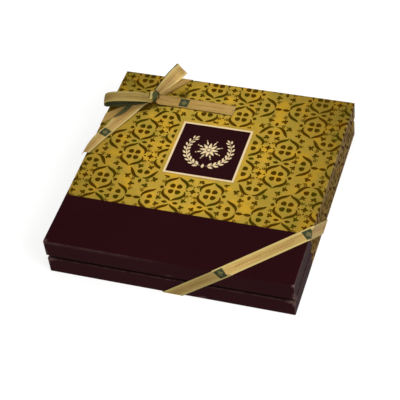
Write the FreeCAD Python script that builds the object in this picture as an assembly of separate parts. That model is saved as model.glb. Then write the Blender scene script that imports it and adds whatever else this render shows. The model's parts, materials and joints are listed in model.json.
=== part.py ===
import FreeCAD, Part
import math
import os

# Square shoulder-neck gift box for chocolates, with a ribbon tied over two opposite corners.
# Millimetres. Origin at the centre of the underside, +X to the right, +Y to the back, +Z up.

# ---- driving dimensions ----
BASE_HALF = 105.0  # half of the base's outside width, wrap included
LID_HALF = 105.3  # half of the lid's outside width: it stands a little proud of the base
HEIGHT = 38.0  # top of the closed lid
LID_RIM = 21.0  # lower edge of the lid's walls
BASE_RIM = 16.65  # upper edge of the base's walls: the reveal is between the two
WRAP = 0.25  # printed paper
STAY = 0.15  # corner tape
BOARD = 2.0  # greyboard
LINER = 0.2  # inside paper
SHEET = 0.5  # card under the base
SHEET_HALF = 103.0
EDGE = 0.5  # rounding of the wrapped edges
TURN_IN = 12.0  # how far the wrap is turned in over a rim
NECK_BOARD = 1.5
NECK_WRAP = 0.2
NECK_HALF = 102.3  # outside of the wrapped neck
NECK_TOP = 35.5
NECK_FOOT = 3.0
LABEL_SIDE = 62.4
LABEL_AT = (-2.5, 21.5)
LABEL_T = 0.35
LABEL_BORDER = 1.9
RIBBON_W = 12.0
RIBBON_T = 0.3
RIBBON_GAP = 0.1  # between the ribbon and the paper under it
FRONT_STRAP_X = 47.7  # where the ribbon's middle crosses the lid's front edge
RIGHT_STRAP_Y = -50.2  # and its right edge
LEFT_STRAP_Y = 38.5  # where it crosses the lid's left edge
BACK_STRAP_X = -50.2  # and its back edge
KINK = (-69.5, 75.8)  # the knot gathers it here, and it turns a little
KINK_HALF = 4.0
WALL_SHIFT_FRONT = 45.0  # how far the ribbon moves along each wall on its way down
WALL_SHIFT = 42.0
WALL_SHIFT_BACK = 26.0
GROOVE = 0.42  # the ribbon's bed under the base
GROOVE_W = 13.4
TRAY_HALF = 99.9
TRAY_TOP = 26.0
TRAY_T = 0.5
TRAY_FOOT = 3.05
CUP_PITCH = 38.6
CUP_TOP = 33.5
CUP_BOTTOM = 29.0
CUP_FLOOR = 5.0
PAD_HALF = 99.5
PAD_LOW = 26.5
PAD_HIGH = 30.2

V = FreeCAD.Vector
os.makedirs("parts", exist_ok=True)


def save(name, shape):
    shape.exportStep("parts/%s.step" % name)
    solids = shape.Solids
    print("%-24s solids %2d  volume %10.2f  valid %s" % (name, len(solids), shape.Volume, shape.isValid()))


def block(x0, x1, y0, y1, z0, z1):
    return Part.makeBox(x1 - x0, y1 - y0, z1 - z0, V(x0, y0, z0))


def square(half, z0, z1):
    return block(-half, half, -half, half, z0, z1)


def prism(points, direction):
    wire = Part.makePolygon(points + [points[0]])
    return Part.Face(wire).extrude(direction)


def soft_edges(shape, radius, wanted):
    edges = [e for e in shape.Edges if wanted(e)]
    return shape.makeFillet(radius, edges)


def upright(half):
    def test(e):
        a, b = e.Vertexes[0].Point, e.Vertexes[-1].Point
        return abs(a.x - b.x) < 1e-6 and abs(a.y - b.y) < 1e-6 and abs(abs(a.x) - half) < 1e-3 and abs(abs(a.y) - half) < 1e-3

    return test


def shell_square(half, z0, z1, edge, top=True):
    # a square block whose upright edges and one end's edges are slightly rounded
    body = square(half, z0, z1)
    end = z1 if top else z0

    def test(e):
        a, b = e.Vertexes[0].Point, e.Vertexes[-1].Point
        return upright(half)(e) or (abs(a.z - end) < 1e-6 and abs(b.z - end) < 1e-6)

    return soft_edges(body, edge, test)


# ---- base ----
base_in = BASE_HALF - WRAP
board_out = base_in - STAY
board_in = board_out - BOARD
wrap_low = SHEET
board_low = SHEET + WRAP
floor_top = board_low + BOARD
board_rim = BASE_RIM - WRAP

base_board = square(board_out, board_low, board_rim).cut(square(board_in, floor_top, board_rim + 1))
save("base_board", base_board)

base_wrap = shell_square(BASE_HALF, wrap_low, BASE_RIM, EDGE, top=False)
base_wrap = base_wrap.cut(square(base_in, board_low, board_rim))
base_wrap = base_wrap.cut(square(board_in - WRAP, wrap_low - 1, BASE_RIM + 1))
# turned in over the rim, down the inside of the walls, and under the bottom edge
base_wrap = base_wrap.fuse(square(board_in, BASE_RIM - TURN_IN, BASE_RIM).cut(square(board_in - WRAP, BASE_RIM - TURN_IN - 1, BASE_RIM + 1)))
base_wrap = base_wrap.cut(base_board).removeSplitter()
under = square(BASE_HALF - 1.0, wrap_low, board_low).cut(square(BASE_HALF - 17.0, wrap_low - 1, board_low + 1))
base_wrap = base_wrap.fuse(under).removeSplitter()
save("base_wrap", base_wrap)


def ells(outer, z0, z1, leg=12.0):
    # four L-shaped tapes, each outside a board corner; outer is their outside half width
    made = []
    for sx in (-1, 1):
        for sy in (-1, 1):
            pts = [(0, 0), (leg, 0), (leg, STAY), (STAY, STAY), (STAY, leg), (0, leg)]
            if sx * sy < 0:
                pts = [(x, y) for x, y in pts][::-1]
            made.append(prism([V(sx * (outer - x), sy * (outer - y), z0) for x, y in pts], V(0, 0, z1 - z0)))
    return Part.makeCompound(made)


save("base_corner_stays", ells(base_in, board_low + 0.2, board_rim - 0.4))

# card under the base, with two shallow beds pressed in by the ribbon
sheet = square(SHEET_HALF, 0, SHEET)
front_foot = FRONT_STRAP_X - WALL_SHIFT_FRONT
left_foot = LEFT_STRAP_Y - WALL_SHIFT
right_foot = RIGHT_STRAP_Y + WALL_SHIFT
back_foot = BACK_STRAP_X + WALL_SHIFT_BACK
FOOT = LID_HALF + RIBBON_GAP + RIBBON_T  # outside of the ribbon's wall runs


def strip_between(p, q, width, z0, z1, reach):
    # a flat strip from p to q, run on at both ends and trimmed square to the walls later
    d = V(q[0] - p[0], q[1] - p[1], 0)
    d.normalize()
    side = V(-d.y, d.x, 0) * (width / 2)
    a = V(p[0], p[1], z0) - d * reach
    b = V(q[0], q[1], z0) + d * reach
    return prism([a + side, b + side, b - side, a - side], V(0, 0, z1 - z0))


runs = {
    "ribbon_under_left": ((front_foot, -FOOT), (-FOOT, left_foot)),
    "ribbon_under_right": ((FOOT, right_foot), (back_foot, FOOT)),
}
for name, (p, q) in runs.items():
    sheet = sheet.cut(strip_between(p, q, GROOVE_W, -1, GROOVE, 30))
save("base_bottom_sheet", sheet.removeSplitter())
for name, (p, q) in runs.items():
    flat = strip_between(p, q, RIBBON_W, 0.05, 0.05 + RIBBON_T, 30).common(square(FOOT, -1, 1))
    save(name, flat)

save("base_liner", square(board_in - 0.4, floor_top, floor_top + LINER))

# ---- neck: a board frame in dark paper, glued inside the base ----
nb_out = NECK_HALF - NECK_WRAP
nb_in = nb_out - NECK_BOARD
nb_top = NECK_TOP - NECK_WRAP
neck_frame = square(nb_out, NECK_FOOT, nb_top).cut(square(nb_in, NECK_FOOT - 1, nb_top + 1))
save("neck_frame", neck_frame)
neck_wrap = shell_square(NECK_HALF, NECK_FOOT, NECK_TOP, 0.18)
neck_wrap = neck_wrap.cut(square(nb_out, NECK_FOOT - 1, nb_top)).fuse(
    square(nb_in, NECK_FOOT, NECK_TOP).cut(square(nb_in - NECK_WRAP, NECK_FOOT - 1, NECK_TOP + 1))
)
neck_wrap = neck_wrap.cut(square(nb_in - NECK_WRAP, NECK_FOOT - 1, NECK_TOP + 1)).removeSplitter()
save("neck_wrap", neck_wrap)

# ---- lid ----
lid_in = LID_HALF - WRAP
lboard_out = lid_in - STAY
lboard_in = lboard_out - BOARD
lboard_top = HEIGHT - WRAP
ceiling = lboard_top - BOARD
lboard_low = LID_RIM + WRAP
lid_board = square(lboard_out, lboard_low, lboard_top).cut(square(lboard_in, lboard_low - 1, ceiling))
save("lid_board", lid_board)
lid_wrap = shell_square(LID_HALF, LID_RIM, HEIGHT, EDGE)
lid_wrap = lid_wrap.cut(square(lid_in, lboard_low, lboard_top)).cut(square(lboard_in, LID_RIM - 1, lboard_low + 1))
lid_wrap = lid_wrap.fuse(square(lboard_in, LID_RIM, LID_RIM + TURN_IN).cut(square(lboard_in - WRAP, LID_RIM - 1, LID_RIM + TURN_IN + 1)))
lid_wrap = lid_wrap.removeSplitter()
save("lid_wrap", lid_wrap)
save("lid_corner_stays", ells(lid_in, lboard_low + 0.4, lboard_top - 0.2))
save("lid_liner", square(lboard_in - 0.5, ceiling - LINER, ceiling))
lx, ly = LABEL_AT
h = LABEL_SIDE / 2
label = block(lx - h, lx + h, ly - h, ly + h, HEIGHT, HEIGHT + LABEL_T)
hi = h - LABEL_BORDER
label = label.cut(block(lx - hi, lx + hi, ly - hi, ly + hi, HEIGHT + LABEL_T - 0.1, HEIGHT + 1))
save("lid_label", label)

# ---- ribbon over the lid ----
R0 = HEIGHT + RIBBON_GAP
R1 = R0 + RIBBON_T
W0 = LID_HALF + RIBBON_GAP
W1 = W0 + RIBBON_T
STRAP_FOOT = 0.75  # the wall runs stop just above the run under the base


def top_run(p, q):
    return strip_between(p, q, RIBBON_W, R0, R1, 30).common(square(W1, R0 - 1, R1 + 1))


def half_span(p, q, along_x):
    # half the ribbon's width measured along the edge that it crosses
    d = V(q[0] - p[0], q[1] - p[1], 0)
    d.normalize()
    return RIBBON_W / 2 / abs(d.y if along_x else d.x)


def wall_x(sign, top, foot, span):
    # a run down a wall that faces along Y
    pts = [V(top - span, 0, R1), V(top + span, 0, R1), V(foot + span, 0, STRAP_FOOT), V(foot - span, 0, STRAP_FOOT)]
    y0 = W0 if sign > 0 else -W1
    return prism([V(p.x, y0, p.z) for p in pts], V(0, W1 - W0, 0))


def wall_y(sign, top, foot, span):
    # a run down a wall that faces along X
    pts = [V(0, top - span, R1), V(0, top + span, R1), V(0, foot + span, STRAP_FOOT), V(0, foot - span, STRAP_FOOT)]
    x0 = W0 if sign > 0 else -W1
    return prism([V(x0, p.y, p.z) for p in pts], V(W1 - W0, 0, 0))


p, q = (FRONT_STRAP_X, -W1), (W1, RIGHT_STRAP_Y)
front_strap = top_run(p, q)
front_strap = front_strap.fuse(wall_x(-1, FRONT_STRAP_X, front_foot, half_span(p, q, True)))
front_strap = front_strap.fuse(wall_y(1, RIGHT_STRAP_Y, right_foot, half_span(p, q, False))).removeSplitter()
save("ribbon_front_strap", front_strap)
p, q = (-W1, LEFT_STRAP_Y), (BACK_STRAP_X, W1)
left_span, back_span = half_span(p, KINK, False), half_span(KINK, q, True)
d = V(q[0] - p[0], q[1] - p[1], 0)
d.normalize()
side = V(-d.y, d.x, 0) * KINK_HALF
k = V(KINK[0], KINK[1], R0)
back_strap = prism(
    [V(p[0], p[1] - left_span, R0), k - side, V(q[0] + back_span, q[1], R0), V(q[0] - back_span, q[1], R0), k + side, V(p[0], p[1] + left_span, R0)],
    V(0, 0, RIBBON_T),
)
back_strap = back_strap.fuse(wall_y(-1, LEFT_STRAP_Y, left_foot, left_span))
back_strap = back_strap.fuse(wall_x(1, BACK_STRAP_X, back_foot, back_span)).removeSplitter()
save("ribbon_back_strap", back_strap)


# ---- bow ----
def unit(a):
    b = V(a)
    b.normalize()
    return b


def strip(stations):
    # a closed strip of ribbon through (middle, width direction, half width) stations
    n = len(stations)
    rings = []
    for i, (c, w, hw) in enumerate(stations):
        t = unit(stations[min(i + 1, n - 1)][0] - stations[max(i - 1, 0)][0])
        nn = unit(t.cross(w))
        k = nn * (RIBBON_T / 2)
        s = w * hw
        rings.append([c + s + k, c - s + k, c - s - k, c + s - k])
    faces = []

    def tri(a, b, c):
        faces.append(Part.Face(Part.makePolygon([a, b, c, a])))

    def quad(a, b, c, d):
        tri(a, b, c)
        tri(a, c, d)

    for r0, r1 in zip(rings, rings[1:]):
        for k in range(4):
            a, b, c, e = r0[k], r0[(k + 1) % 4], r1[(k + 1) % 4], r1[k]
            # both faces of a twisted stretch bend over the same diagonal, so the thickness stays even
            if k == 2:
                quad(b, c, e, a)
            else:
                quad(a, b, c, e)
    quad(*rings[0][::-1])
    quad(*rings[-1])
    solid = Part.makeSolid(Part.makeShell(faces))
    if solid.Volume < 0:
        solid.reverse()
    return solid


Z = HEIGHT
KNOT = V(-69.0, 74.0, Z)

# left loop: a flattened loop lying out over the lid's left edge
root = V(-69.0, 72.2, Z)
d = unit(V(-38.6, -10.6, 0))
across = V(d.y, -d.x, 0)
left_profile = [(5.8, 5.2, 4.7), (11, 6.4, 5.5), (17, 7.3, 5.9), (25, 8.0, 6), (33, 8.1, 6), (38.5, 7.6, 6), (41.8, 6.2, 6), (43.0, 4.1, 6), (42.5, 2.0, 6), (40.6, 0.9, 6), (37.6, 0.9, 6), (31, 0.95, 6), (24, 1.15, 6), (17, 1.8, 5.8), (11, 2.4, 5.2), (5.8, 3.0, 4.6)]
save("bow_left_loop", strip([(root + d * s + V(0, 0, z), across, hw) for s, z, hw in left_profile]))

# right loop: stands up towards the back
start, end = V(-67.0, 77.6, Z + 4.4), V(-49.0, 100.6, Z + 16.2)
axis = unit(end - start)
SIGHT = V(0.2636, -0.6347, 0.7264)
across = unit(axis.cross(SIGHT))
out = across.cross(axis)
far = (end - start).Length / 30.0
right_profile = [(5.5, 1.7, 4.6), (9, 2.7, 5.3), (14, 3.7, 5.9), (19, 4.2, 6), (25, 4.0, 6), (29, 2.4, 6), (30.2, 0, 6), (29, -2.4, 6), (25, -4.0, 6), (19, -4.2, 6), (14, -3.7, 5.9), (9, -2.7, 5.3), (5.5, -1.7, 4.6)]
save("bow_right_loop", strip([(start + axis * (s * far) + out * k, across, hw) for s, k, hw in right_profile]))


def tail(points):
    made = []
    n = len(points)
    for i, (x, y, z, hw, tilt) in enumerate(points):
        a, b = points[max(i - 1, 0)], points[min(i + 1, n - 1)]
        t = unit(V(b[0] - a[0], b[1] - a[1], b[2] - a[2]))
        level = unit(t.cross(V(0, 0, 1)))
        rise = level.cross(t)
        an = math.radians(tilt)
        made.append((V(x, y, Z + z), level * math.cos(an) - rise * math.sin(an), hw))
    return strip(made)


save(
    "bow_right_tail",
    tail([(-63.2, 73.6, 1.6, 5.0, 0), (-60, 74.3, 1.25, 5.6, 0), (-55, 74.8, 0.95, 6, 0), (-48, 75.1, 0.75, 6, 0), (-40.8, 75.2, 0.65, 6, 0), (-24.5, 74.9, 0.6, 6, 0), (-8, 74.8, 0.6, 6, 0), (6.5, 74.4, 0.7, 6, 0)]),
)
save(
    "bow_left_tail",
    tail(
        [
            (-74.3, 66.6, 1.15, 3.8, 0),
            (-77.6, 61.4, 1.2, 4.8, 1),
            (-82.2, 54.8, 1.3, 5.8, 3),
            (-87.3, 46.6, 1.45, 6.2, 4),
            (-92.6, 36.7, 1.45, 6.2, 4),
            (-98.0, 25.0, 1.4, 6, 4),
            (-102.6, 14.2, 1.3, 5.6, 5),
            (-105.6, 4.2, 1.2, 4.2, 8),
            (-107.4, -1.2, 1.0, 3.4, 8),
        ]
    ),
)
knot = block(-5.0, 5.0, -5.2, 5.2, 0.75, 7.4)
knot = soft_edges(knot, 1.2, lambda e: True)
knot.rotate(V(0, 0, 0), V(0, 0, 1), 12)
knot.translate(KNOT)
save("bow_knot", knot)

# ---- pad over the chocolates ----
pad = soft_edges(square(PAD_HALF, PAD_LOW, PAD_HIGH), 4.0, upright(PAD_HALF))
pad = soft_edges(pad, 1.6, lambda e: abs(e.BoundBox.ZMin - e.BoundBox.ZMax) < 1e-6)
save("cushion_pad", pad)


# ---- tray ----
def rounded(side, r, z):
    hs = side / 2
    k = hs - r
    e = []
    for i in range(4):
        a = math.pi / 2 * i
        c, s = math.cos(a), math.sin(a)

        def turn(x, y):
            return V(x * c - y * s, x * s + y * c, z)

        e.append(Part.LineSegment(turn(hs, -k), turn(hs, k)).toShape())
        m = k + r * math.cos(math.pi / 4)
        e.append(Part.Arc(turn(hs, k), turn(m, m), turn(k, hs)).toShape())
    return Part.Wire(e)


def cup(z0, z1, bottom, top, r0, r1):
    return Part.makeLoft([rounded(bottom, r0, z0), rounded(top, r1, z1)], True, True)


slope = (CUP_TOP - CUP_BOTTOM) / (TRAY_TOP - CUP_FLOOR - TRAY_T)
grow = 2 * TRAY_T * math.sqrt(1 + (slope / 2) ** 2)
places = [(CUP_PITCH * (i - 2), CUP_PITCH * (j - 2)) for j in range(5) for i in range(5)]
tray = soft_edges(square(TRAY_HALF, TRAY_FOOT, TRAY_TOP), 4.0, upright(TRAY_HALF))
hollow = soft_edges(square(TRAY_HALF - TRAY_T, TRAY_FOOT - 1, TRAY_TOP - TRAY_T), 3.3, upright(TRAY_HALF - TRAY_T))
tray = tray.cut(hollow)
outer_low = CUP_BOTTOM + grow - slope * TRAY_T
outer_high = CUP_TOP + grow - slope * (TRAY_T / 2)
shells = [cup(CUP_FLOOR, TRAY_TOP - TRAY_T / 2, outer_low, outer_high, 5.6, 6.6).translated(V(x, y, 0)) for x, y in places]
tray = tray.fuse(shells)
wells = [cup(CUP_FLOOR + TRAY_T, TRAY_TOP + 0.01, CUP_BOTTOM, CUP_TOP, 5.0, 6.0).translated(V(x, y, 0)) for x, y in places]
tray = tray.cut(wells).removeSplitter()
save("praline_tray", tray)

# ---- pralines ----
LOW = CUP_FLOOR + TRAY_T + 0.05
LAYOUT = ["ABCBA", "DEFED", "CFAFC", "DEFED", "ABCBA"]


def where(kind):
    return [(CUP_PITCH * (i - 2), CUP_PITCH * (j - 2)) for j in range(5) for i in range(5) if LAYOUT[j][i] == kind]


def lay(name, kind, shape, turn=False):
    made = []
    for k, (x, y) in enumerate(where(kind)):
        one = shape.copy()
        if turn and abs(x) > abs(y):
            one.rotate(V(0, 0, 0), V(0, 0, 1), 90)
        made.append(one.translated(V(x, y, LOW)))
    save(name, Part.makeCompound(made))


# square with a bevelled top
a = cup(0, 14.0, 26.4, 25.2, 2.5, 2.5).fuse(cup(14.0, 16.6, 25.2, 21.0, 2.5, 1.5)).removeSplitter()
lay("praline_square", "A", a)


# dome
def turned(profile):
    pts = [V(x, 0, z) for x, z in profile]
    face = Part.Face(Part.makePolygon(pts + [pts[0]]))
    return face.revolve(V(0, 0, 0), V(0, 0, 1), 360)


arc = [(13.9 * math.cos(t), 2.2 + 15.4 * math.sin(t)) for t in [math.radians(v) for v in (0, 15, 30, 45, 60, 75)]]
lay("praline_dome", "B", turned([(0, 0), (13.4, 0)] + arc + [(0, 17.6)]))

# log with a rounded back
hw, hl = 9.4, 14.2
pts = [(-hw, 0), (hw, 0)] + [(hw * math.cos(t), 6.0 + 9.0 * math.sin(t)) for t in [math.radians(v) for v in range(0, 181, 20)]]
log = prism([V(x, -hl, z) for x, z in pts], V(0, 2 * hl, 0))
lay("praline_log", "C", log, turn=True)


# oval with a bevelled top
def stadium(length, width, z):
    r = width / 2
    k = length / 2 - r
    e = [
        Part.LineSegment(V(-k, -r, z), V(k, -r, z)).toShape(),
        Part.Arc(V(k, -r, z), V(k + r, 0, z), V(k, r, z)).toShape(),
        Part.LineSegment(V(k, r, z), V(-k, r, z)).toShape(),
        Part.Arc(V(-k, r, z), V(-k - r, 0, z), V(-k, -r, z)).toShape(),
    ]
    return Part.Wire(e)


oval = Part.makeLoft([stadium(28.4, 20.4, 0), stadium(28.0, 20.0, 9.0)], True, True)
oval = oval.fuse(Part.makeLoft([stadium(28.0, 20.0, 9.0), stadium(22.0, 14.0, 14.5)], True, True)).removeSplitter()
lay("praline_oval", "D", oval)

# cup with a nut set in its top
NUT_R = 6.4
NUT_Z = 15.2
case = turned([(0, 0), (11.2, 0), (13.6, 13.2), (12.6, 14.2), (0, 14.2)])
case = case.cut(Part.makeSphere(NUT_R + 0.08, V(0, 0, NUT_Z)))
lay("praline_cup", "E", case)
nut = Part.makeSphere(NUT_R, V(0, 0, NUT_Z)).common(block(-9, 9, -9, 9, 0, NUT_Z + 4.9))
lay("hazelnut_toppings", "E", nut)

# truffle
ball = Part.makeSphere(12.0, V(0, 0, 8.0)).common(block(-20, 20, -20, 20, 0, 40))
lay("praline_truffle", "F", ball)
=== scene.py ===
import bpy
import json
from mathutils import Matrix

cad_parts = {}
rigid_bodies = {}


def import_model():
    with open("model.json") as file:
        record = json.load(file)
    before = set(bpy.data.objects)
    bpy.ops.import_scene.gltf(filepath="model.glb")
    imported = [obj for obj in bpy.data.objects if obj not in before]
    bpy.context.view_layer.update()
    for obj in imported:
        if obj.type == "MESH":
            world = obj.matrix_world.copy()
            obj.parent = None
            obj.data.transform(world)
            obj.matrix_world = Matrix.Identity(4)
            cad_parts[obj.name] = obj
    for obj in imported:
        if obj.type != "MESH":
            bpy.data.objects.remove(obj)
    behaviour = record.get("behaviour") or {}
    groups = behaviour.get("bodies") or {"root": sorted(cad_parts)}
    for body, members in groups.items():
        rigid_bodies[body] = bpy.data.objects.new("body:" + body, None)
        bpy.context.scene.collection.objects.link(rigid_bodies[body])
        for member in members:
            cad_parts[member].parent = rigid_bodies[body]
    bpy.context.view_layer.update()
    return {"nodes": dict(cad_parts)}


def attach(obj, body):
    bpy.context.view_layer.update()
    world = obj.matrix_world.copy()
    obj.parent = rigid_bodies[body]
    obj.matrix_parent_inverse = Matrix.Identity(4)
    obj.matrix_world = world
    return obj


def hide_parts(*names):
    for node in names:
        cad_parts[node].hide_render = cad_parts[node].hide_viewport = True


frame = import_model()

import json
import math
import random

import bpy
from mathutils import Matrix, Quaternion, Vector, geometry, noise

# All lengths here are millimetres in the part's own frame; mesh_object turns them into metres.
MM = 0.001
BASE_HALF, LID_HALF, EDGE = 105.0, 105.3, 0.5
HEIGHT, LID_RIM, BASE_RIM, SHEET = 38.0, 21.0, 16.65, 0.5
BAND_Y = -51.7  # the plain front band ends here
LABEL_AT, LABEL_SIDE, LABEL_T = (-2.5, 21.5), 62.4, 0.35
RIBBON_W = 12.0
FRONT_STRAP_X, RIGHT_STRAP_Y, LEFT_STRAP_Y, BACK_STRAP_X = 47.7, -50.2, 38.5, -50.2
SHIFT_FRONT, SHIFT, SHIFT_BACK = 45.0, 42.0, 26.0
KINK, KINK_HALF = (-69.5, 75.8), 4.0
SCENE = bpy.context.scene


# ------------------------------------------------------------------ helpers
def mesh_object(name, verts, faces, mats, index=None, uvs=None, smooth=False, wear_and_highlight=None):
    me = bpy.data.meshes.new(name)
    me.from_pydata([(x * MM, y * MM, z * MM) for x, y, z in verts], [], faces)
    for m in mats:
        me.materials.append(m)
    if index is not None:
        me.polygons.foreach_set("material_index", index)
    me.polygons.foreach_set("use_smooth", [bool(smooth)] * len(me.polygons))
    if uvs is not None:  # one per vertex, millimetres
        layer = me.uv_layers.new(name="UVMap")
        flat = []
        for l in me.loops:
            u, v = uvs[l.vertex_index]
            flat += [u * MM, v * MM]
        layer.data.foreach_set("uv", flat)
    if wear_and_highlight is not None:
        at = me.attributes.new("wear_and_highlight", "FLOAT", "POINT")
        at.data.foreach_set("value", wear_and_highlight)
    me.update()
    o = bpy.data.objects.new(name, me)
    SCENE.collection.objects.link(o)
    return o


class Mesh:
    """Gathers vertices and faces of one piece."""

    def __init__(self):
        self.v, self.f, self.m, self.w, self.uv = [], [], [], [], []

    def vert(self, p, wear_and_highlight=0.0, uv=(0.0, 0.0)):
        self.v.append(tuple(p))
        self.w.append(wear_and_highlight)
        self.uv.append(uv)
        return len(self.v) - 1

    def face(self, ids, mat=0):
        self.f.append(tuple(ids))
        self.m.append(mat)

    def grid(self, rows, mat=0, close=False, flip=False):
        """rows of vertex ids, joined by quads"""
        for a, b in zip(rows, rows[1:]):
            n = len(a)
            for i in range(n if close else n - 1):
                j = (i + 1) % n
                q = [a[i], a[j], b[j], b[i]]
                self.face(q[::-1] if flip else q, mat)

    def make(self, name, mats, smooth=False, uv=False, wear_and_highlight=False, weld=0.0):
        o = mesh_object(name, self.v, self.f, mats, self.m, self.uv if uv else None, smooth, self.w if wear_and_highlight else None)
        if weld:
            import bmesh

            bm = bmesh.new()
            bm.from_mesh(o.data)
            bmesh.ops.remove_doubles(bm, verts=bm.verts, dist=weld * MM)
            bmesh.ops.dissolve_degenerate(bm, dist=1e-7, edges=bm.edges)
            bm.to_mesh(o.data)
            bm.free()
        return o


def unit(v):
    v = Vector(v)
    return v.normalized()


def catmull(points, n):
    """n points along a smooth curve through points (any dimension), evenly spread by chord length"""
    pts = [list(p) for p in points]
    dim = len(pts[0])
    ext = [[2 * pts[0][k] - pts[1][k] for k in range(dim)]] + pts + [[2 * pts[-1][k] - pts[-2][k] for k in range(dim)]]
    fine = []
    for i in range(1, len(ext) - 2):
        for j in range(24):
            t = j / 24
            a, b, c, d = ext[i - 1], ext[i], ext[i + 1], ext[i + 2]
            fine.append([0.5 * (2 * b[k] + (c[k] - a[k]) * t + (2 * a[k] - 5 * b[k] + 4 * c[k] - d[k]) * t * t + (3 * b[k] - a[k] - 3 * c[k] + d[k]) * t**3) for k in range(dim)])
    fine.append(pts[-1])
    return spread(fine, n)


def spread(fine, n, lead=3):
    """n points evenly spaced along a polyline, measured on its first lead coordinates"""
    dim = len(fine[0])
    m = min(dim, lead)
    run = [0.0]
    for a, b in zip(fine, fine[1:]):
        run.append(run[-1] + math.sqrt(sum((a[k] - b[k]) ** 2 for k in range(m))))
    out, i = [], 0
    for j in range(n):
        s = run[-1] * j / (n - 1)
        while i < len(run) - 2 and run[i + 1] < s:
            i += 1
        t = (s - run[i]) / max(run[i + 1] - run[i], 1e-9)
        out.append([fine[i][k] + (fine[i + 1][k] - fine[i][k]) * t for k in range(dim)])
    return out


def length_of(pts):
    return sum(math.dist(a[:3], b[:3]) for a, b in zip(pts, pts[1:]))


def smoothstep(a, b, x):
    t = min(max((x - a) / (b - a), 0.0), 1.0)
    return t * t * (3 - 2 * t)


# ------------------------------------------------------------------ materials
class Mat:
    """A small builder of node materials."""

    def __init__(self, name):
        self.m = bpy.data.materials.new(name)
        self.m.use_nodes = True
        self.nt = self.m.node_tree
        self.nt.nodes.clear()
        self.out = self.nt.nodes.new("ShaderNodeOutputMaterial")
        self.p = self.nt.nodes.new("ShaderNodeBsdfPrincipled")
        self.nt.links.new(self.p.outputs[0], self.out.inputs[0])
        self.co = None

    def put(self, socket, value):
        if isinstance(value, bpy.types.NodeSocket):
            self.nt.links.new(value, socket)
        elif value is not None:
            socket.default_value = value

    def set(self, **named):
        for k, v in named.items():
            if k in ("Base_Color", "Sheen_Tint", "Coat_Tint", "Specular_Tint", "Subsurface_Radius") and not isinstance(v, bpy.types.NodeSocket) and len(v) == 3 and k != "Subsurface_Radius":
                v = (*v, 1.0)
            self.put(self.p.inputs[k.replace("_", " ")], v)
        return self

    def place(self):
        if self.co is None:
            self.co = self.nt.nodes.new("ShaderNodeTexCoord").outputs["Object"]
        return self.co

    def uv(self):
        n = self.nt.nodes.new("ShaderNodeUVMap")
        n.uv_map = "UVMap"
        s = self.nt.nodes.new("ShaderNodeSeparateXYZ")
        self.nt.links.new(n.outputs[0], s.inputs[0])
        return s.outputs[0], s.outputs[1]

    def split(self, vec):
        s = self.nt.nodes.new("ShaderNodeSeparateXYZ")
        self.nt.links.new(vec, s.inputs[0])
        return s.outputs[0], s.outputs[1], s.outputs[2]

    def stretch(self, x, y, z, turn=(0, 0, 0)):
        n = self.nt.nodes.new("ShaderNodeMapping")
        self.nt.links.new(self.place(), n.inputs[0])
        n.inputs["Scale"].default_value = (x, y, z)
        n.inputs["Rotation"].default_value = turn
        return n.outputs[0]

    def noise(self, scale, detail=3.0, rough=0.55, vec=None, twist=0.0):
        n = self.nt.nodes.new("ShaderNodeTexNoise")
        self.nt.links.new(vec if vec is not None else self.place(), n.inputs["Vector"])
        n.inputs["Scale"].default_value = scale
        n.inputs["Detail"].default_value = detail
        n.inputs["Roughness"].default_value = rough
        n.inputs["Distortion"].default_value = twist
        return n.outputs["Fac"]

    def cells(self, scale, vec=None, feature="F1", output="Distance"):
        n = self.nt.nodes.new("ShaderNodeTexVoronoi")
        n.feature = feature
        self.nt.links.new(vec if vec is not None else self.place(), n.inputs["Vector"])
        n.inputs["Scale"].default_value = scale
        return n.outputs[output]

    def math(self, op, a, b=None, c=None, clamp=False):
        n = self.nt.nodes.new("ShaderNodeMath")
        n.operation = op
        n.use_clamp = clamp
        for s, v in zip(n.inputs, (a, b, c)):
            self.put(s, v)
        return n.outputs[0]

    def span(self, x, a, b, lo=0.0, hi=1.0, smooth=True):
        n = self.nt.nodes.new("ShaderNodeMapRange")
        n.interpolation_type = "SMOOTHSTEP" if smooth else "LINEAR"
        self.put(n.inputs[0], x)
        for s, v in zip(list(n.inputs)[1:5], (a, b, lo, hi)):
            s.default_value = v
        return n.outputs[0]

    def mix(self, fac, a, b, kind="MIX"):
        n = self.nt.nodes.new("ShaderNodeMix")
        n.data_type = "RGBA"
        n.blend_type = kind
        self.put(n.inputs["Factor"], fac)
        for s, v in ((n.inputs[6], a), (n.inputs[7], b)):
            if not isinstance(v, bpy.types.NodeSocket):
                v = (*v, 1.0) if len(v) == 3 else v
            self.put(s, v)
        return n.outputs[2]

    def painted_wall_shade(self, colour, share):
        """the colour, darkened on faces that stand upright: painted shade"""
        z = self.split(self.nt.nodes.new("ShaderNodeTexCoord").outputs["Normal"])[2]
        return self.mix(self.span(self.math("ABSOLUTE", z), 0.25, 0.80), self.mix(1.0, colour, share, "MULTIPLY"), colour)

    def attribute(self, name):
        n = self.nt.nodes.new("ShaderNodeAttribute")
        n.attribute_name = name
        return n.outputs["Fac"]

    def bump(self, height, strength, distance, after=None):
        n = self.nt.nodes.new("ShaderNodeBump")
        n.inputs["Strength"].default_value = strength
        n.inputs["Distance"].default_value = distance * MM
        self.put(n.inputs["Height"], height)
        if after is not None:
            self.put(n.inputs["Normal"], after)
        self.put(self.p.inputs["Normal"], n.outputs[0])
        return n.outputs[0]


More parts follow.
